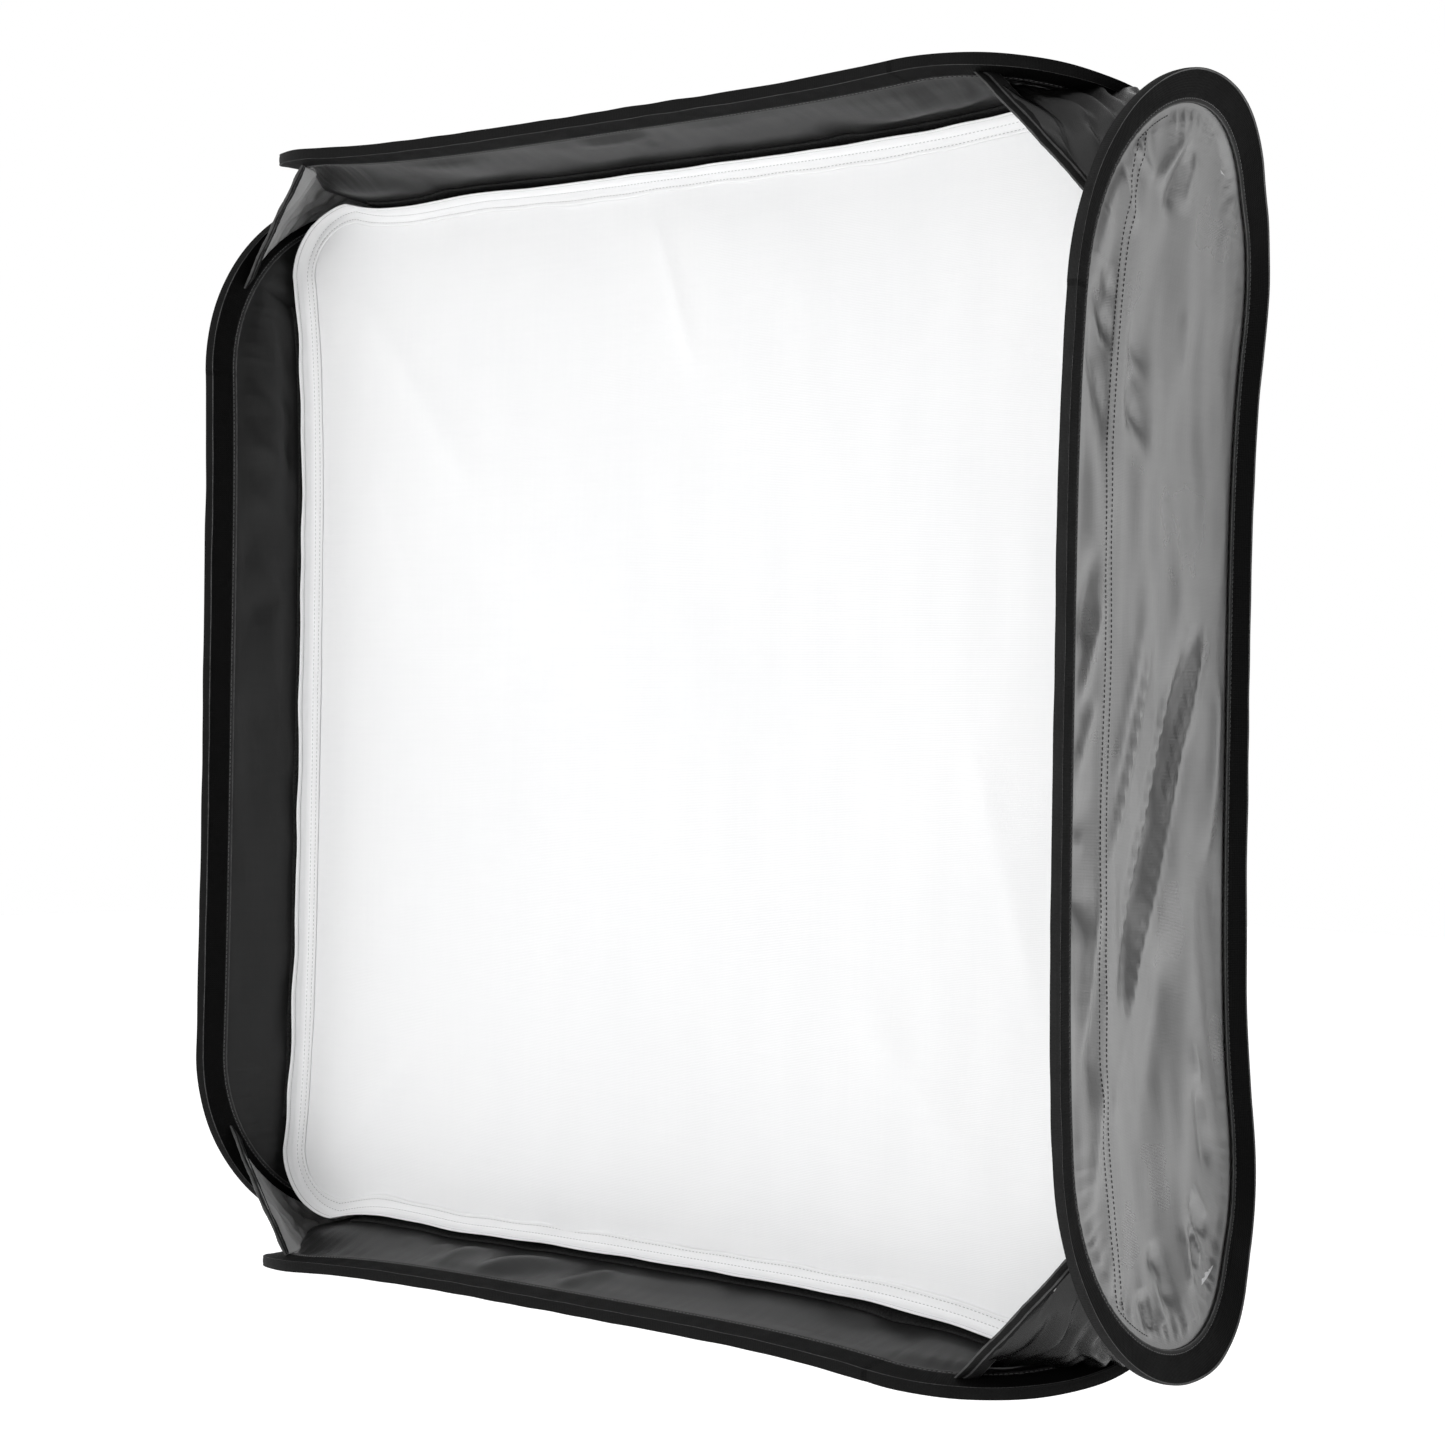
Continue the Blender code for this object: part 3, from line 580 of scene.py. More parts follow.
def hook_loops():
    """Hook tape: rows of tiny loops."""
    made = Surface("hook_loops", 0.85, Specular_IOR_Level=0.15)
    place = made.space()
    cells = made.node("ShaderNodeTexVoronoi", Vector=place, Scale=900.0).outputs["Distance"]
    made.colour(made.ramp(cells, [(0.0, 0.030), (0.8, 0.010)]))
    made.bump([(cells, 0.0005), (made.noise(place, 400.0), 0.0002)])
    return made.mat


def hard_finish(name, roughness, metallic, marks, colours, gloss, grains, **sockets):
    """Metal or plastic, with a mottled colour and gloss and a fine grain.

    marks is the mottling's (scale, detail), and grains are (stretch, scale, detail, height in metres).
    """
    made = Surface(name, roughness, metallic, **sockets)
    mottle = made.noise(made.space(), *marks)
    made.colour(made.ramp(mottle, colours))
    made.rough(mottle, *gloss)
    heights = []
    for stretch, scale, detail, height in grains:
        heights.append((made.noise(made.space(stretch), scale, detail), height))
    made.bump(heights)
    return made.mat


BLACK_TAPE = grosgrain("black_grosgrain", 0.0035, 0.009, 0.15)
# Paler copy of the black tape for the right hoop: painted light, because the side light falls on that hoop.
PAINTED_LIT_TAPE = grosgrain("rubbed_grosgrain", 0.0035, 0.020, 0.18)
WEB_TAPE = web_binding("web_grosgrain", 0.006, 0.022)
GREY_TAPE = web_binding("grey_grosgrain", 0.04, 0.12)
BLACK_SATIN = satin("black_satin", 0.010, 0.017, 0.36, 0.01, 0.30)
GLOSS_SATIN = satin("gloss_satin", 0.003, 0.006, 0.20, 0.0, 0.40)
# Black nylon drawn mid-grey: painted sheen, the grey that strong side light gives the black outer fabric.
PAINTED_SHEEN_SATIN = satin("grey_satin", 0.21, 0.27, 0.27, 0.02, 0.5, 0.86)
# Gusset fabric drawn pale grey on its inner side: painted reflection, the bright room mirrored in glossy
# black nylon.
PAINTED_REFLECTION_SATIN = satin("pale_satin", 0.30, 0.38, 0.40, 0.10, 0.5)
WHITE = diffuser_cloth()
SILVER = silver_lining()
PALE_THREAD = thread("pale_thread", 0.11)
BLACK_THREAD = thread("black_thread", 0.015)
WHITE_THREAD = thread("white_thread", 0.62)
HOOK = hook_loops()
EVEN = (1, 1, 1)
STEEL = hard_finish("brushed_steel", 0.32, 1.0, (55.0, 5.0),
                    [(0.3, (0.42, 0.43, 0.44)), (0.7, (0.56, 0.57, 0.58))],
                    (0.24, 0.42), [((40.0, 900.0, 40.0), 1.0, 4.0, 0.00006)], Anisotropic=0.5)
ALUMINIUM = hard_finish("blasted_aluminium", 0.42, 1.0, (28.0, 5.0),
                        [(0.25, (0.50, 0.51, 0.52)), (0.75, (0.66, 0.67, 0.68))],
                        (0.36, 0.52), [(EVEN, 1500.0, 3.0, 0.00009), (EVEN, 28.0, 5.0, 0.00006)])
PLATED = hard_finish("plated_steel", 0.25, 1.0, (240.0, 4.0),
                     [(0.3, (0.50, 0.50, 0.49)), (0.7, (0.68, 0.68, 0.66))],
                     (0.18, 0.36), [(EVEN, 240.0, 4.0, 0.00004)])
PLASTIC = hard_finish("moulded_plastic", 0.5, 0.0, (90.0, 4.0), [(0.3, 0.016), (0.75, 0.030)],
                      (0.42, 0.60), [(EVEN, 1100.0, 3.0, 0.00012)], Specular_IOR_Level=0.45)


# ================= walls =================
def swept_place(wall, r, n):
    """Points beside the whole stitch line, for arrays of (line points, profile points)."""
    s, y, ns, ny = wall.line[:, :4].T[:, :, None]
    lean = REAR_LEAN * np.maximum(ny, 0.0)
    return wall.place(s + ns * r, y + ny * r, n + lean * r)


def binding_tape(wall):
    ns, ny, u = wall.line.T[2:]
    rs, offs, across, _ = tape_profile()
    seed = sum(map(ord, wall.name))
    wander = 0.0003 * ripple(u, 0 * u, seed, 0.12)[:, None]
    swell = 1 + 0.05 * ripple(u, 0 * u, seed + 1, 0.05)[:, None]
    curved = np.abs(np.gradient(np.unwrap(np.arctan2(ny, ns)), u)) > 1.0
    tight = np.convolve(curved.astype(float), np.ones(9) / 9, "same")[:, None]
    near_lip = np.exp(-((rs - 0.004) / 0.005) ** 2)[None, :]
    pucker = 0.0003 * tight * near_lip * np.sin(math.tau * u / 0.0095)[:, None]
    r = rs[None, :] + wander * smooth(rs / RIM)[None, :]
    n = offs[None, :] * np.where(rs > 0.006, swell, 1.0) + pucker * np.sign(offs)[None, :]
    # The right hoop gets the tape copy with painted light.
    finish = PAINTED_LIT_TAPE if wall.name == "right" else BLACK_TAPE
    item = swept_piece(wall.name + "_tape", swept_place(wall, r, n), finish, spread(u, across))
    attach(item, wall.body)
    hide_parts(wall.name + "_binding_tape")
    runs = []
    for side in (1, -1):
        row = swept_place(wall, np.full((1, 1), STITCH_ROW), side * (SLIT + TAPE + 0.00025))[:, 0]
        runs.append((row, np.tile(wall.outward() * side, (len(row), 1)), True))
    stitches = stitching(wall.name + "_tape_stitches", runs, PALE_THREAD, wall.body, radius=0.00026)
    return [item, stitches]


def edge_distance(wall, s, y):
    """Distance inside the stitch line, and the place along it of the nearest point."""
    line = wall.line
    flat = np.stack([s.ravel(), y.ravel()], axis=1)
    near = np.empty(len(flat))
    place = np.empty(len(flat))
    for first in range(0, len(flat), 4000):
        part = flat[first:first + 4000]
        gap = ((part[:, None, 0] - line[None, :, 0]) ** 2 + (part[:, None, 1] - line[None, :, 1]) ** 2)
        k = gap.argmin(axis=1)
        inward = -((part - line[k, :2]) * line[k, 2:4]).sum(axis=1)
        near[first:first + 4000] = inward
        place[first:first + 4000] = line[k, 4]
    return near.reshape(s.shape), place.reshape(s.shape)


# Pulled creases in millimetres: start s, start y, end s, end y, width, height (negative in a valley).
CREASES = {
    "right": [
        (-200, 62, 85, 205, 26, -5.2), (-175, 58, 68, 180, 6, 2.2), (-200, 80, -40, 166, 5, 1.6),
        (-80, 145, 78, 216, 6, 2.4), (-20, 180, 66, 220, 5, 1.4), (-95, 48, 62, 124, 5, 1.6),
        (-50, 52, 74, 108, 6, 1.1), (-240, 52, -175, 88, 5, 0.8), (-250, 104, -125, 166, 30, -3.4),
        (-130, 12, -35, 2, 22, -6), (-60, -4, -75, 22, 10, 2.4), (-34, -6, 20, 34, 8, 2.6),
        (4, -2, 78, 40, 8, 2.8), (36, 0, 110, 28, 14, -3), (-285, 18, -200, 46, 8, 1.8),
        (-235, 18, -105, 46, 10, -2.4), (-200, 18, -60, 44, 8, 2), (-140, 26, -20, 50, 9, -1.8),
        (235, 0, 155, 48, 10, -2.6), (260, 4, 160, 106, 13, -4), (275, 8, 205, 102, 12, -3.4),
        (248, 2, 180, 70, 9, 2), (330, 20, 290, 60, 8, 2.2), (345, 34, 325, 75, 7, 2.4),
        (356, 118, 305, 92, 8, -4.2), (360, 112, 318, 70, 7, 2.6), (350, 126, 310, 118, 8, 2.2),
        (-370, 82, -335, 78, 8, -5), (-365, 100, -325, 108, 7, 3), (-360, 116, -310, 104, 10, -5),
        (-350, 150, -305, 150, 6, 2.8), (-345, 160, -300, 166, 6, -4.2), (-338, 176, -296, 160, 5, 3),
        (-325, 188, -290, 168, 7, -4.8), (-310, 200, -285, 175, 5, 2.6), (-292, 208, -215, 196, 10, -3),
        (-270, 216, -190, 188, 8, 1.8), (-100, 218, 40, 238, 14, 2), (215, 160, 260, 150, 6, 1.2),
    ],
    "left": [
        (285, 0, 215, 80, 18, -3.4), (245, -4, 185, 75, 15, -3.6), (210, -4, 150, 75, 16, -3.4),
        (175, -4, 110, 70, 15, -2.8), (125, -4, 50, 70, 18, -2.6), (65, -4, 100, 50, 14, 2.2),
        (20, -4, -80, 60, 20, 2), (-255, 30, -180, 60, 16, 2), (320, 10, 290, 70, 12, 3),
    ],
    "top": [
        (275, 8, 165, 50, 14, -3.6), (295, 14, 235, 50, 12, -3.4), (160, 40, 50, 60, 16, -3),
        (-50, -2, 40, 4, 12, -3.4), (30, -4, 14, 20, 8, 2), (-250, 10, -200, 60, 20, 2.2),
        (-100, 210, 80, 150, 20, 2), (-330, 60, -240, 20, 16, -2.6),
    ],
    "bottom": [
        (-128, -4, -45, 62, 15, -4.4), (-170, 0, -128, 62, 14, -4), (-46, -4, -8, 34, 10, -3),
        (-190, 14, -172, 60, 10, -2.6), (-222, 20, -216, 62, 12, -3), (-100, -4, -30, 40, 16, 2.2),
        (200, 52, 262, 22, 10, 1.6), (20, 210, -160, 150, 20, 2),
    ],
}


def corner_pull(wall, s):
    """How far the diffuser's corner draws the lying walls' cloth inwards at its left end."""
    if wall.axis == "x":
        return 0.0 * s
    return 0.013 * smooth((-s - 0.17) / 0.14)


def wall_shape(wall, s, y):
    """How far the cloth stands out from the even wall."""
    near, place = edge_distance(wall, s, y)
    seed = 7 + sum(map(ord, wall.name))
    inside = smooth((near - 0.0012) / 0.010)
    total = 0.0012 * ripple(s, y, seed, 0.16, (1.0, 1.6))
    total = total + 0.0004 * ripple(s, y, seed + 1, 0.05, (0.7, 1.4))
    for *line, height in np.array(CREASES[wall.name]) / 1000:
        reach = math.hypot(line[2] - line[0], line[3] - line[1])
        strength = min(0.55 + 7.0 * reach, 1.75)        # long creases stand out more
        total = total + crease(s, y, line, height * strength)
    tips = smooth((np.abs(s - wall.centre) - 0.20) / 0.12)
    gather = np.sin(math.tau * place / 0.0135 + 3.2 * ripple(place, 0 * place, seed + 2, 0.07))
    pulled = np.exp(-np.maximum(near, 0) / 0.014) * (0.2 + 0.8 * tips)
    total = total + 0.0008 * gather * pulled
    over_strip = smooth((0.026 - np.abs(y - 0.050)) / 0.016) * smooth((0.34 - np.abs(s)) / 0.03)
    sunk = 0.5 * (total - np.sqrt(total ** 2 + 0.0006 ** 2))
    total = total - over_strip * (sunk - 0.0003)
    held = corner_pull(wall, s) * smooth((y - FRONT_LINE) / 0.050) * smooth((0.20 - y) / 0.10)
    return (total - held) * inside


def wall_cloth(wall):
    grow = 0.0022
    xs = wall.line[:, 0] + wall.line[:, 2] * grow
    middle, reach = (xs.max() + xs.min()) / 2, (xs.max() - xs.min()) / 2 - 0.0004
    i = np.arange(COLUMNS + 1) / COLUMNS
    s = middle - reach * (0.6 * np.cos(math.pi * i) + 0.4 * (1 - 2 * i))
    front, rear = wall.edges(s, grow)
    t = np.arange(ROWS + 1) / ROWS
    t = 0.35 * (1 - np.cos(math.pi * t)) / 2 + 0.65 * t
    y = front[:, None] + (rear - front)[:, None] * t[None, :]
    s = np.broadcast_to(s[:, None], y.shape)
    grid = wall.place(s, y, wall_shape(wall, s, y))
    # Outside in the grey of painted sheen, inside black.
    sides = by_side(grid_normals(grid), wall.outward(), PAINTED_SHEEN_SATIN, BLACK_SATIN)
    item = cloth_piece(wall.name + "_cloth", grid, FABRIC, sides, np.stack([s, y], axis=-1))
    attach(item, wall.body)
    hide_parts(wall.name + "_wall_fabric")
    return item


def seam_rows(wall):
    """Two rows of stitches through the wall, which hold the hook strip on its inner side."""
    runs = []
    for y_row in SEAM_ROWS:
        reach = wall.front[0] - 0.012
        s = wall.centre + np.linspace(-reach, reach, 300)
        front, rear = wall.edges(s, -0.004)
        y_row = y_row + 0.0016 * ripple(s, 0 * s, 12, 0.22)
        y = np.clip(y_row, front + 0.001, rear)
        row = wall.place(s, y, wall_shape(wall, s, y) + FABRIC / 2)
        runs.append((row, np.tile(wall.outward(), (len(row), 1)), False))
    stitches = stitching(wall.name + "_seam_stitches", runs, BLACK_THREAD, wall.body)
    return stitches


def hook_strip(wall):
    """Loop tape on the inner side of the cloth, which the diffuser's border holds on to."""
    s, y = np.meshgrid(np.linspace(-HOOK_REACH, HOOK_REACH, 240),
                       np.linspace(DIFFUSER_Y - HOOK_FRONT, DIFFUSER_Y + HOOK_REAR, 9), indexing="ij")
    grid = wall.place(s, y, wall_shape(wall, s, y) - (FABRIC / 2 + GAP + HOOK_THICK / 2))
    item = cloth_piece(wall.name + "_hook_tape", grid, HOOK_THICK, (HOOK, HOOK), np.stack([s, y], axis=-1))
    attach(item, wall.body)
    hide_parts(wall.name + "_hook_strip")
    return item


def build_wall(wall):
    tape, stitches = binding_tape(wall)
    cloth = wall_cloth(wall)
    seam = seam_rows(wall)
    strip = hook_strip(wall)


# ================= corners =================
def front_arc(wall, sign, start, t, inset, onto_cloth=None):
    """Points beside a stitch line's front corner: t 0 is the gusset's start, 1 near the tip, 2 behind."""
    length, radius = wall.front
    corner = length - radius
    past = start - sign * wall.centre - corner
    first = math.asin(max(past, 0.0) / radius)
    straight = max(-past, 0.0)
    near_tip = straight + radius * (math.radians(GUSSET_TURN) - first)
    behind = straight + radius * (math.pi / 2 - first) + WEB_BEHIND
    along = t * near_tip + np.maximum(t - 1.0, 0.0) * (behind - 2 * near_tip)
    a = first + np.maximum(along - straight, 0.0) / radius
    back = np.maximum(a - math.pi / 2, 0.0) * radius
    a = np.minimum(a, math.pi / 2)
    share = 0.0 * t if onto_cloth is None else onto_cloth
    lead = GUSSET_LEAD - WEB_LAP * share
    outer = radius + lead
    on_arc = along >= straight
    s = sign * np.where(on_arc, corner + outer * np.sin(a), corner - straight + along) + wall.centre
    y = FRONT_LINE + np.where(on_arc, radius - outer * np.cos(a) + back, -lead)
    if onto_cloth is not None:
        inset = inset + (WEB_LIFT - wall_shape(wall, s, y) - inset) * share
    return wall.place(s, y, -inset)


def gusset_sides(corner, t, inset, onto_cloth=None):
    """The two long sides of a gusset, on the lying and on the standing wall."""
    lying, standing, sx, sz, starts = CORNERS[corner]
    return (front_arc(WALLS[lying], sx, starts[0], t, inset, onto_cloth),
            front_arc(WALLS[standing], sz, starts[1], t, inset))


def gusset_move(corner, item):
    """Three gussets keep their baked shape; the top right one is attached to the right wall and gets a mesh
    of its own.
    """
    pairs = {"bottom_left": ("bottom", "left"), "top_left": ("left", "top"),
             "bottom_right": ("bottom", "right")}
    if corner in pairs:
        lying_end, standing_end = gusset_sides(corner, np.array(0.35), GUSSET_INSET)
        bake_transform(item)
        return
    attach(item, "right_wall")
    anchor = gusset_sides(corner, np.array(0.5), GUSSET_INSET)[1]
    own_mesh(item)


def gusset_axes(corner):
    """Outwards across the corner, and the direction in which the gusset runs back from its front edge."""
    sx, sz = CORNERS[corner][2:4]
    outwards = np.array((sx, 0.0, sz)) / math.sqrt(2)
    return outwards, 0.55 * outwards + np.array((0.0, math.sqrt(1 - 0.55 ** 2), 0.0))


def gusset(corner):
    along, across = 180, 72
    end = 2.0 if CORNERS[corner][2] < 0 else 1.3        # only the left webs go on behind the tips
    t = np.linspace(0.0, end, along + 1)
    a, b = gusset_sides(corner, t, GUSSET_INSET - 0.0022, smooth(t / 0.3))
    a, b = a[:, None, :], b[:, None, :]
    k = np.linspace(0.0, 1.0, across + 1)
    outwards, back = gusset_axes(corner)
    width = np.linalg.norm(b - a, axis=-1)
    tt, kk = np.meshgrid(t, k, indexing="ij")
    belly = 0.05 * np.sin(math.pi * kk) * width * smooth(tt / 0.3)
    seed = 31 + len(corner)
    folds = np.sin(math.tau * (2.6 * tt * (1 + 0.9 * kk) + 0.30 * ripple(tt, kk, seed, 0.9)))
    folds = np.sign(folds) * np.abs(folds) ** 1.3
    fine = ripple(tt, kk, seed + 1, 0.22, (1.0, 0.35))
    fade = np.sin(math.pi * kk) ** 0.5 * smooth(tt / 0.12) * smooth((end + 0.02 - tt) / 0.20)
    lift = belly + (0.0021 * folds + 0.0010 * fine + 0.0010) * fade
    grid = a + (b - a) * k[None, :, None] + outwards * lift[..., None]
    grid = grid + back * (0.006 * (1 - smooth(tt / 0.12)))[..., None]
    # Outer side glossy black, inner side pale with painted reflection.
    sides = by_side(grid_normals(grid), outwards, GLOSS_SATIN, PAINTED_REFLECTION_SATIN)
    uv = np.stack([tt * 0.12, kk * 0.2], axis=-1)
    item = cloth_piece(corner + "_web", grid, FABRIC * 0.8, sides, uv)
    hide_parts(corner + "_gusset")
    gusset_move(corner, item)
    return item


def gusset_edge(corner):
    """Folded tape along the front edge of the web, with a pressed groove and two soft ridges."""
    a, b = gusset_sides(corner, np.array(0.0), GUSSET_INSET - 0.0024)
    outwards, back = gusset_axes(corner)
    rise = np.cross(back, (b - a) / np.linalg.norm(b - a))
    rise = rise * np.sign(rise @ outwards)
    w = GUSSET_TAPE - 0.001
    # (back from the front edge, height above the middle plane) of one face of the tape
    face = [(-0.0002, 0.0003), (0.0004, 0.0009), (0.0020, 0.0012), (0.0040, 0.0010), (0.0050, 0.0004),
            (0.0060, 0.0010), (0.0080, 0.0012), (0.0104, 0.0010), (w - 0.0006, 0.0007), (w, 0.0003)]
    profile = face + [(d, -h) for d, h in face[::-1]]
    count = 110
    k = np.linspace(0, 1, count + 1)
    sag = 0.0010 * np.sin(math.pi * k) + 0.0003 * np.sin(math.tau * 3 * k)
    sections = np.empty((count + 1, len(profile), 3))
    for j, (d, h) in enumerate(profile):
        edge = 0.0002 * ripple(k, 0 * k + d * 40, 5, 0.07)
        lift = h + edge * np.sign(h) + sag
        ends = 1 - (d / w) * (1 - smooth(np.minimum(k, 1 - k) / 0.07)) * 0.75
        sections[:, j] = a + (b - a) * k[:, None] + rise * lift[:, None] + back * (d * ends)[:, None]
    rows, cols = sections.shape[:2]
    faces = quads(rows, cols, wrap_cols=True)
    faces.append(list(range(cols)))
    faces.append([(rows - 1) * cols + j for j in range(cols)][::-1])
    pale = {0, 4, 8, 9, 10, 14, 18, 19}         # faces of the profile in the groove and at the edges
    slots = [1 if j in pale else 0 for j in range(cols)] * (rows - 1) + [0, 0]
    length = float(np.linalg.norm(b - a))
    uv = np.stack([np.repeat(k * length, cols), np.tile([p[0] for p in profile], rows)], axis=-1)
    item = make_piece(corner + "_web_tape", sections, faces, [WEB_TAPE, GREY_TAPE], slots, uv)
    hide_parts(corner + "_gusset_tape")
    gusset_move(corner, item)
    return item


def build_corner(corner):
    web = gusset(corner)
    tape = gusset_edge(corner)


# ================= diffuser =================
def diffuser_loop(inset, per_side=90, per_corner=26):
    """Closed rounded square just inside the four walls, as (x, z) points, with its four corner indices."""
    limit = DIFFUSER_HALF - CORNER_ROUND
    sides = []
    for name, forward in (("right", 1), ("top", -1), ("left", -1), ("bottom", 1)):
        wall = WALLS[name]
        s = forward * limit * np.linspace(-1, 1, per_side + 1)
        h = (wall.height(s, DIFFUSER_Y) - corner_pull(wall, s) - inset) * wall.sign
        sides.append(np.stack([h, s] if wall.axis == "x" else [s, h], axis=1))
    loop, corners = [], []
    for side, following in zip(sides, sides[1:] + sides[:1]):
        a, b = side[-1], following[0]
        centre = np.array((b[0], a[1])) if abs(a[0]) > abs(b[0]) else np.array((a[0], b[1]))
        turn = np.linspace(0, math.pi / 2, per_corner + 1)[1:-1, None]
        arc = centre + (a - centre) * np.cos(turn) + (b - centre) * np.sin(turn)
        loop.append(side)
        corners.append(sum(map(len, loop)) + len(arc) // 2)
        loop.append(arc)
    return np.concatenate(loop), corners


def coons(loop, corners, count):
    """Grid over a closed loop that is split into four sides at its corners."""
    n = len(loop)
    sides = []
    for start, stop in zip(corners, corners[1:] + [corners[0] + n]):
        side = loop[np.arange(start, stop + 1) % n]
        length = np.linalg.norm(np.diff(side, axis=0), axis=1).sum()
        sides.append(resampled(side, length / count, False)[: count + 1])
    lower, right, upper, left = sides[0], sides[1], sides[2][::-1], sides[3][::-1]
    u = np.linspace(0, 1, count + 1)[:, None, None]
    v = np.linspace(0, 1, count + 1)[None, :, None]
    ruled = (1 - v) * lower[:, None] + v * upper[:, None] + (1 - u) * left[None] + u * right[None]
    corner = ((1 - u) * (1 - v) * lower[0] + u * (1 - v) * lower[-1]
              + (1 - u) * v * upper[0] + u * v * upper[-1])
    return ruled - corner


# Pulled folds in millimetres: start x, start z, end x, end z, width, height.
DIFFUSER_CREASES = [
    (-340, 330, -170, 140, 20, 3), (-330, 250, -220, 20, 16, 2), (330, -330, 160, -160, 20, 2.6),
    (320, 330, 180, 180, 18, 2.2), (-20, 350, 30, 220, 8, 2.2), (-330, -330, -200, -200, 18, 2),
    (330, -200, 260, 20, 14, 1.8),
]


def diffuser_front(x, z):
    """How far the diffuser stands forward of its plane: a slight billow with soft pulled folds."""
    billow = 0.004 * np.cos(math.pi * x / 0.78) * np.cos(math.pi * z / 0.78)
    waves = 0.0012 * ripple(x, z, 3, 0.30) + 0.0003 * ripple(x, z, 4, 0.06, (1.0, 0.5))
    pulls = np.zeros(np.broadcast(x, z).shape)
    for *line, height in np.array(DIFFUSER_CREASES) / 1000:
        pulls = pulls + crease(x, z, line, height)
    edge = smooth((0.372 - np.maximum(np.abs(x), np.abs(z))) / 0.05)
    return (billow + waves + pulls) * edge


def diffuser_sheet():
    inset = FABRIC / 2 + GAP * 3.5 + HOOK_THICK + HEM_THICK + 0.0012
    loop, corners = diffuser_loop(inset)
    flat = coons(loop, corners, 190)
    x, z = flat[..., 0], flat[..., 1]
    y = FRONT_Y + DIFFUSER_Y + FABRIC / 2 - diffuser_front(x, z)
    grid = np.stack([x, y, z], axis=-1)
    item = cloth_piece("diffuser_cloth", grid, FABRIC, (WHITE, WHITE), flat)
    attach(item, "diffuser")
    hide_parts("diffuser_sheet")
    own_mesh(item)
    return item


def diffuser_hem():
    """Doubled hem: a band in the plane of the sheet and a flange turned forwards along the walls."""
    base = FABRIC / 2 + GAP * 3.5 + HOOK_THICK
    plane = FRONT_Y + DIFFUSER_Y - GAP
    flange, band = FLANGE_WIDTH, BORDER_WIDTH
    # (inset from the walls, forward of the plane) round the hem's section
    profile = [(0.0, 0.0), (0.0, flange * 0.4), (0.0002, flange * 0.8), (0.0001, flange - 0.0004),
               (0.0006, flange), (0.0012, flange - 0.0004), (0.0014, flange * 0.80),
               (0.0010, flange * 0.72), (0.0014, flange * 0.55), (0.0016, 0.0036), (0.0024, 0.0021),
               (0.0040, 0.0014), (0.0048, 0.0009), (0.0058, 0.0015), (band * 0.65, 0.0018),
               (band - 0.0034, 0.0016), (band - 0.0026, 0.0010), (band - 0.0016, 0.0016),
               (band - 0.0004, 0.0012), (band, 0.0006), (band - 0.0004, 0.0)]
    outer = diffuser_loop(0.0)[0]
    inner = diffuser_loop(0.02)[0]
    step = np.concatenate([outer, outer[:1]])
    u = np.concatenate([[0], np.cumsum(np.linalg.norm(np.diff(step, axis=0), axis=1))])[:-1]
    sections = np.empty((len(outer), len(profile), 3))
    lying = np.abs(outer[:, 1]) > np.abs(outer[:, 0])
    wavy = np.where(lying, 1.0, 0.55) * ripple(u, 0 * u, 21, 0.075)
    flutter = np.where(lying, 1.0, 0.6) * ripple(u, 0 * u, 22, 0.045)
    for j, (d, f) in enumerate(profile):
        reach = base + d
        inward = reach + 0.0009 * wavy * (d / band) ** 2
        point = outer + (inner - outer) * (inward / 0.02)[:, None]
        lift = f + 0.0011 * flutter * (f / flange) + 0.0006 * wavy * (d / band) * (f > 0.0003)
        sections[:, j, 0] = point[:, 0]
        sections[:, j, 1] = plane - lift
        sections[:, j, 2] = point[:, 1]
    uv = spread(u, np.array([d + f for d, f in profile]))
    item = swept_piece("diffuser_hem", sections, WHITE, uv)
    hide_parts("diffuser_border")
    runs = []
    for j in (12, 16):
        runs.append((sections[:, j], np.tile((0.0, -1.0, 0.0), (len(outer), 1)), True))
    groove = sections[:, 7]
    inwards = 0.0 - groove
    inwards[:, 1] = 0
    runs.append((groove, inwards / np.linalg.norm(inwards, axis=1, keepdims=True), True))
    stitches = stitching("diffuser_stitches", runs, WHITE_THREAD, "diffuser", radius=0.00028)
    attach(item, "diffuser")
    for piece in (item, stitches):
        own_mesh(piece)
    return item, stitches


def build_diffuser():
    sheet = diffuser_sheet()
    hem, stitches = diffuser_hem()


# ================= rear cone =================
def rear_chain(wall, count):
    """Rear half of a stitch line from tip to tip: arrays s and y."""
    length, radius = wall.rear
    corner = length - radius
    total = corner + radius * math.radians(84)
    along = total * np.linspace(-1, 1, count + 1)
    a = np.maximum(np.abs(along) - corner, 0.0) / radius
    s = np.where(a > 0, np.sign(along) * (corner + radius * np.sin(a)), along)
    return s + wall.centre, wall.depth - radius * (1 - np.cos(a))


def cone_rows():
    """Outer edge of the cone and the matching points at the ring, right, top, left, bottom."""
    outer, angle = [], []
    for name, middle, forward in (("right", 0, 1), ("top", 90, -1), ("left", 180, -1), ("bottom", 270, 1)):
        wall = WALLS[name]
        s, y = rear_chain(wall, 150)
        points = wall.place(s, y - CONE_LAP, -CONE_SINK)[::forward]
        turn = np.radians(middle + 44.3 * np.linspace(-1, 1, 151))
        outer.append(points)
        angle.append(turn)
    full_outer, full_angle = [], []
    for k in range(4):
        following = (k + 1) % 4
        full_outer.append(outer[k])
        full_angle.append(angle[k])
        a, b = outer[k][-1], outer[following][0]
        t = np.linspace(0, 1, 12)[1:-1, None]
        full_outer.append(a + (b - a) * t)
        first, last = angle[k][-1], angle[k][-1] + math.radians(1.4)
        full_angle.append(first + (last - first) * t[:, 0])
    return np.concatenate(full_outer), np.concatenate(full_angle)


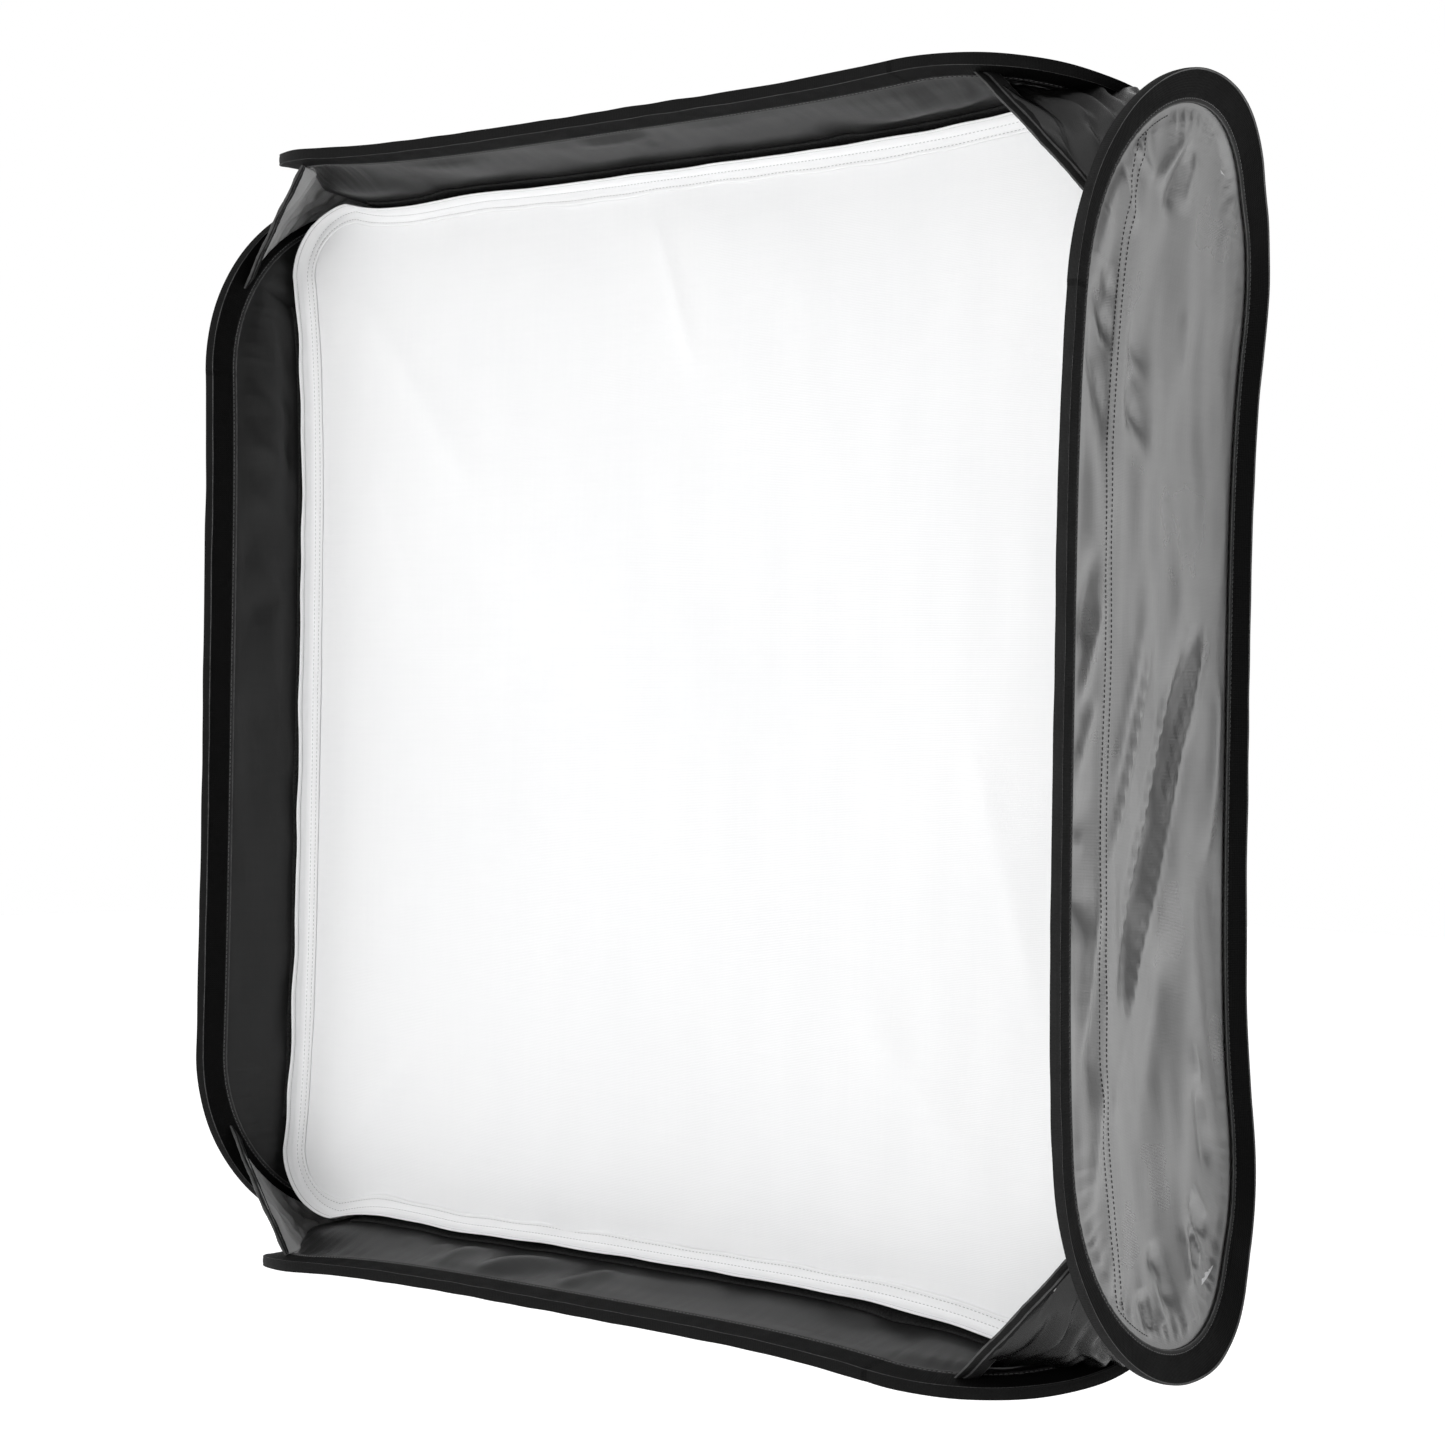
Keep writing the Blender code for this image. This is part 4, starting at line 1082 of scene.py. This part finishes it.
def rear_cone():
    outer, angle = cone_rows()
    ring = np.stack([np.cos(angle), np.zeros(len(angle)), np.sin(angle)], axis=1) * COLLAR_RADIUS
    ring[:, 1] = FRONT_Y + RING_Y - 0.004
    t = np.linspace(0, 1, 61)
    t = t + 0.06 * np.sin(math.pi * t)
    grid = outer[:, None, :] + (ring - outer)[:, None, :] * np.clip(t, 0, 1)[None, :, None]
    normals = grid_normals(grid, wrap=True)
    a, v = np.meshgrid(angle, t, indexing="ij")
    pleats = np.sin(44 * a + 1.5 * np.sin(5 * a)) * smooth((v - 0.45) / 0.5) * smooth((1.0 - v) / 0.05)
    pull = np.sin(20 * a + 2.0 * np.sin(3 * a)) * smooth(v / 0.1) * smooth((0.7 - v) / 0.5)
    soft = ripple(np.cos(a) * (1 - v), np.sin(a) * (1 - v), 77, 0.5)
    pushed = 0.0012 * pleats + 0.0010 * pull + 0.0016 * soft * np.sin(math.pi * np.clip(v, 0, 1))
    grid = grid + normals * pushed[..., None]
    middle = np.array((0.0, FRONT_Y + 0.3, 0.0))
    # Outside in the grey of painted sheen, inside silver.
    sides = by_side(normals, grid - middle, PAINTED_SHEEN_SATIN, SILVER)
    uv = np.stack([a * 0.4, v * 0.4], axis=-1)
    item = cloth_piece("rear_cone", grid, FABRIC, sides, uv, wrap=True)
    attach(item, "ring")
    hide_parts(*[name + "_rear_panel" for name in WALLS])
    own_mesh(item)
    return item


def collar():
    """Gathered cuff that the cone ends in, clamped on the ring."""
    count = 480
    angle = np.arange(count) / count * math.tau
    inner, outer = RING_OUTER + GAP, RING_OUTER + GAP + 0.0010
    front, rear = FRONT_Y + RING_Y - 0.002, RING_BACK - 0.0060
    rows = np.linspace(0, 1, 20)
    there_and_back = np.concatenate([rows, rows[::-1]])
    gathers = 0.00045 * np.sin(46 * angle + 1.3 * np.sin(7 * angle))
    sections = np.empty((count, 2 * len(rows), 3))
    band = 0.010 + FRONT_Y + RING_Y
    for j, v in enumerate(there_and_back):
        y = front + (rear - front) * v
        clamped = smooth((abs(y - band) - 0.006) / 0.004)
        base = outer if j < len(rows) else inner
        lift = gathers * clamped * (1.0 if j < len(rows) else 0.3) + (0.0006 * v if j < len(rows) else 0.0)
        radius = base + np.maximum(lift, -0.0003)
        sections[:, j] = np.stack([radius * np.cos(angle), 0 * angle + y, radius * np.sin(angle)], axis=1)
    uv = spread(angle * RING_OUTER, there_and_back * 0.03)
    item = swept_piece("ring_collar", sections, BLACK_SATIN, uv)
    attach(item, "ring")
    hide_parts("rear_collar")


# ================= metal and plastic =================
NODE_FINISH = {
    "adapter_ring": ALUMINIUM, "retainer_ring": ALUMINIUM, "bayonet_plate": ALUMINIUM,
    "clamp_band": STEEL, "clamp_band_block": STEEL, "clamp_band_screw": PLATED, "lock_knob": PLASTIC,
}


def finish_nodes():
    """Fine materials for the CAD nodes that stay."""
    for name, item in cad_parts.items():
        if name in NODE_FINISH:
            mat = NODE_FINISH[name]
        elif "spring_hoop" in name:
            mat = STEEL
        elif "screw" in name or "lug" in name:
            mat = PLATED
        else:
            continue
        for slot in item.material_slots:
            slot.material = mat


# ================= room =================
def aim(item, target):
    item.rotation_mode = "QUATERNION"
    item.rotation_quaternion = (Vector(target) - item.location).to_track_quat("-Z", "Y")


def area_light(name, place, size, power, target=(0, -0.3, 0)):
    data = bpy.data.lights.new(name, "AREA")
    data.shape = "RECTANGLE"
    data.size, data.size_y = size
    data.energy = power
    item = add_object(name, data)
    item.location = place
    aim(item, target)


def floor():
    """Pale floor, well below the softbox. Its faint glow keeps the background as white as the sky."""
    made = Surface("pale_floor", 0.8, Specular_IOR_Level=0.1, Emission_Color=(1, 1, 1, 1),
                   Emission_Strength=0.42)
    grain = made.noise(made.space(), 6.0, 3.0)
    made.colour(made.ramp(grain, [(0.3, 0.978), (0.7, 0.988)]))
    height = cad_low.z - FLOOR_DROP
    size = 9.0
    mesh = bpy.data.meshes.new("floor")
    mesh.from_pydata([(-size, -size, height), (size, -size, height), (size, size, height),
                      (-size, size, height)], [], [(0, 1, 2, 3)])
    mesh.materials.append(made.mat)
    add_object("floor", mesh)


def room():
    """White sky with a darker side, soft front light and a weak light behind the right wall."""
    world = bpy.data.worlds.new("studio")
    bpy.context.scene.world = world
    world.use_nodes = True
    background = world.node_tree.nodes["Background"]
    nodes, links = world.node_tree.nodes, world.node_tree.links
    direction = nodes.new("ShaderNodeTexCoord").outputs["Generated"]
    split = nodes.new("ShaderNodeSeparateXYZ")
    links.new(direction, split.inputs[0])
    shade = nodes.new("ShaderNodeMapRange")
    shade.interpolation_type = "SMOOTHSTEP"
    for socket, value in (("From Min", 0.04), ("From Max", 0.55), ("To Min", 1.0), ("To Max", 0.10)):
        shade.inputs[socket].default_value = value
    links.new(split.outputs["X"], shade.inputs["Value"])
    links.new(shade.outputs["Result"], background.inputs["Color"])
    area_light("key", (0.2, -3.4, 1.0), (1.6, 1.6), 19.0)
    area_light("side", (2.4, 0.9, 0.0), (1.2, 1.2), 4.0, (0.4, -0.3, -0.3))
    bpy.context.scene.view_settings.view_transform = "Standard"
    floor()


def camera():
    data = bpy.data.cameras.new("camera")
    data.lens = 86.65
    data.sensor_width = 36.0
    data.shift_y = -0.00253
    data.clip_end = 50.0
    item = add_object("camera", data)
    turn = Matrix.Rotation(math.radians(43.594), 4, "Z")
    level = Matrix.Rotation(math.radians(90.0), 4, "X")
    roll = Matrix.Rotation(math.radians(0.930), 4, "Z")
    item.matrix_world = Matrix.Translation((1.628, -2.041, 0.0)) @ turn @ level @ roll
    bpy.context.scene.camera = item


camera()
room()
for a_wall in WALLS.values():
    build_wall(a_wall)
for a_corner in CORNERS:
    build_corner(a_corner)
build_diffuser()
collar()
rear_cone()
finish_nodes()
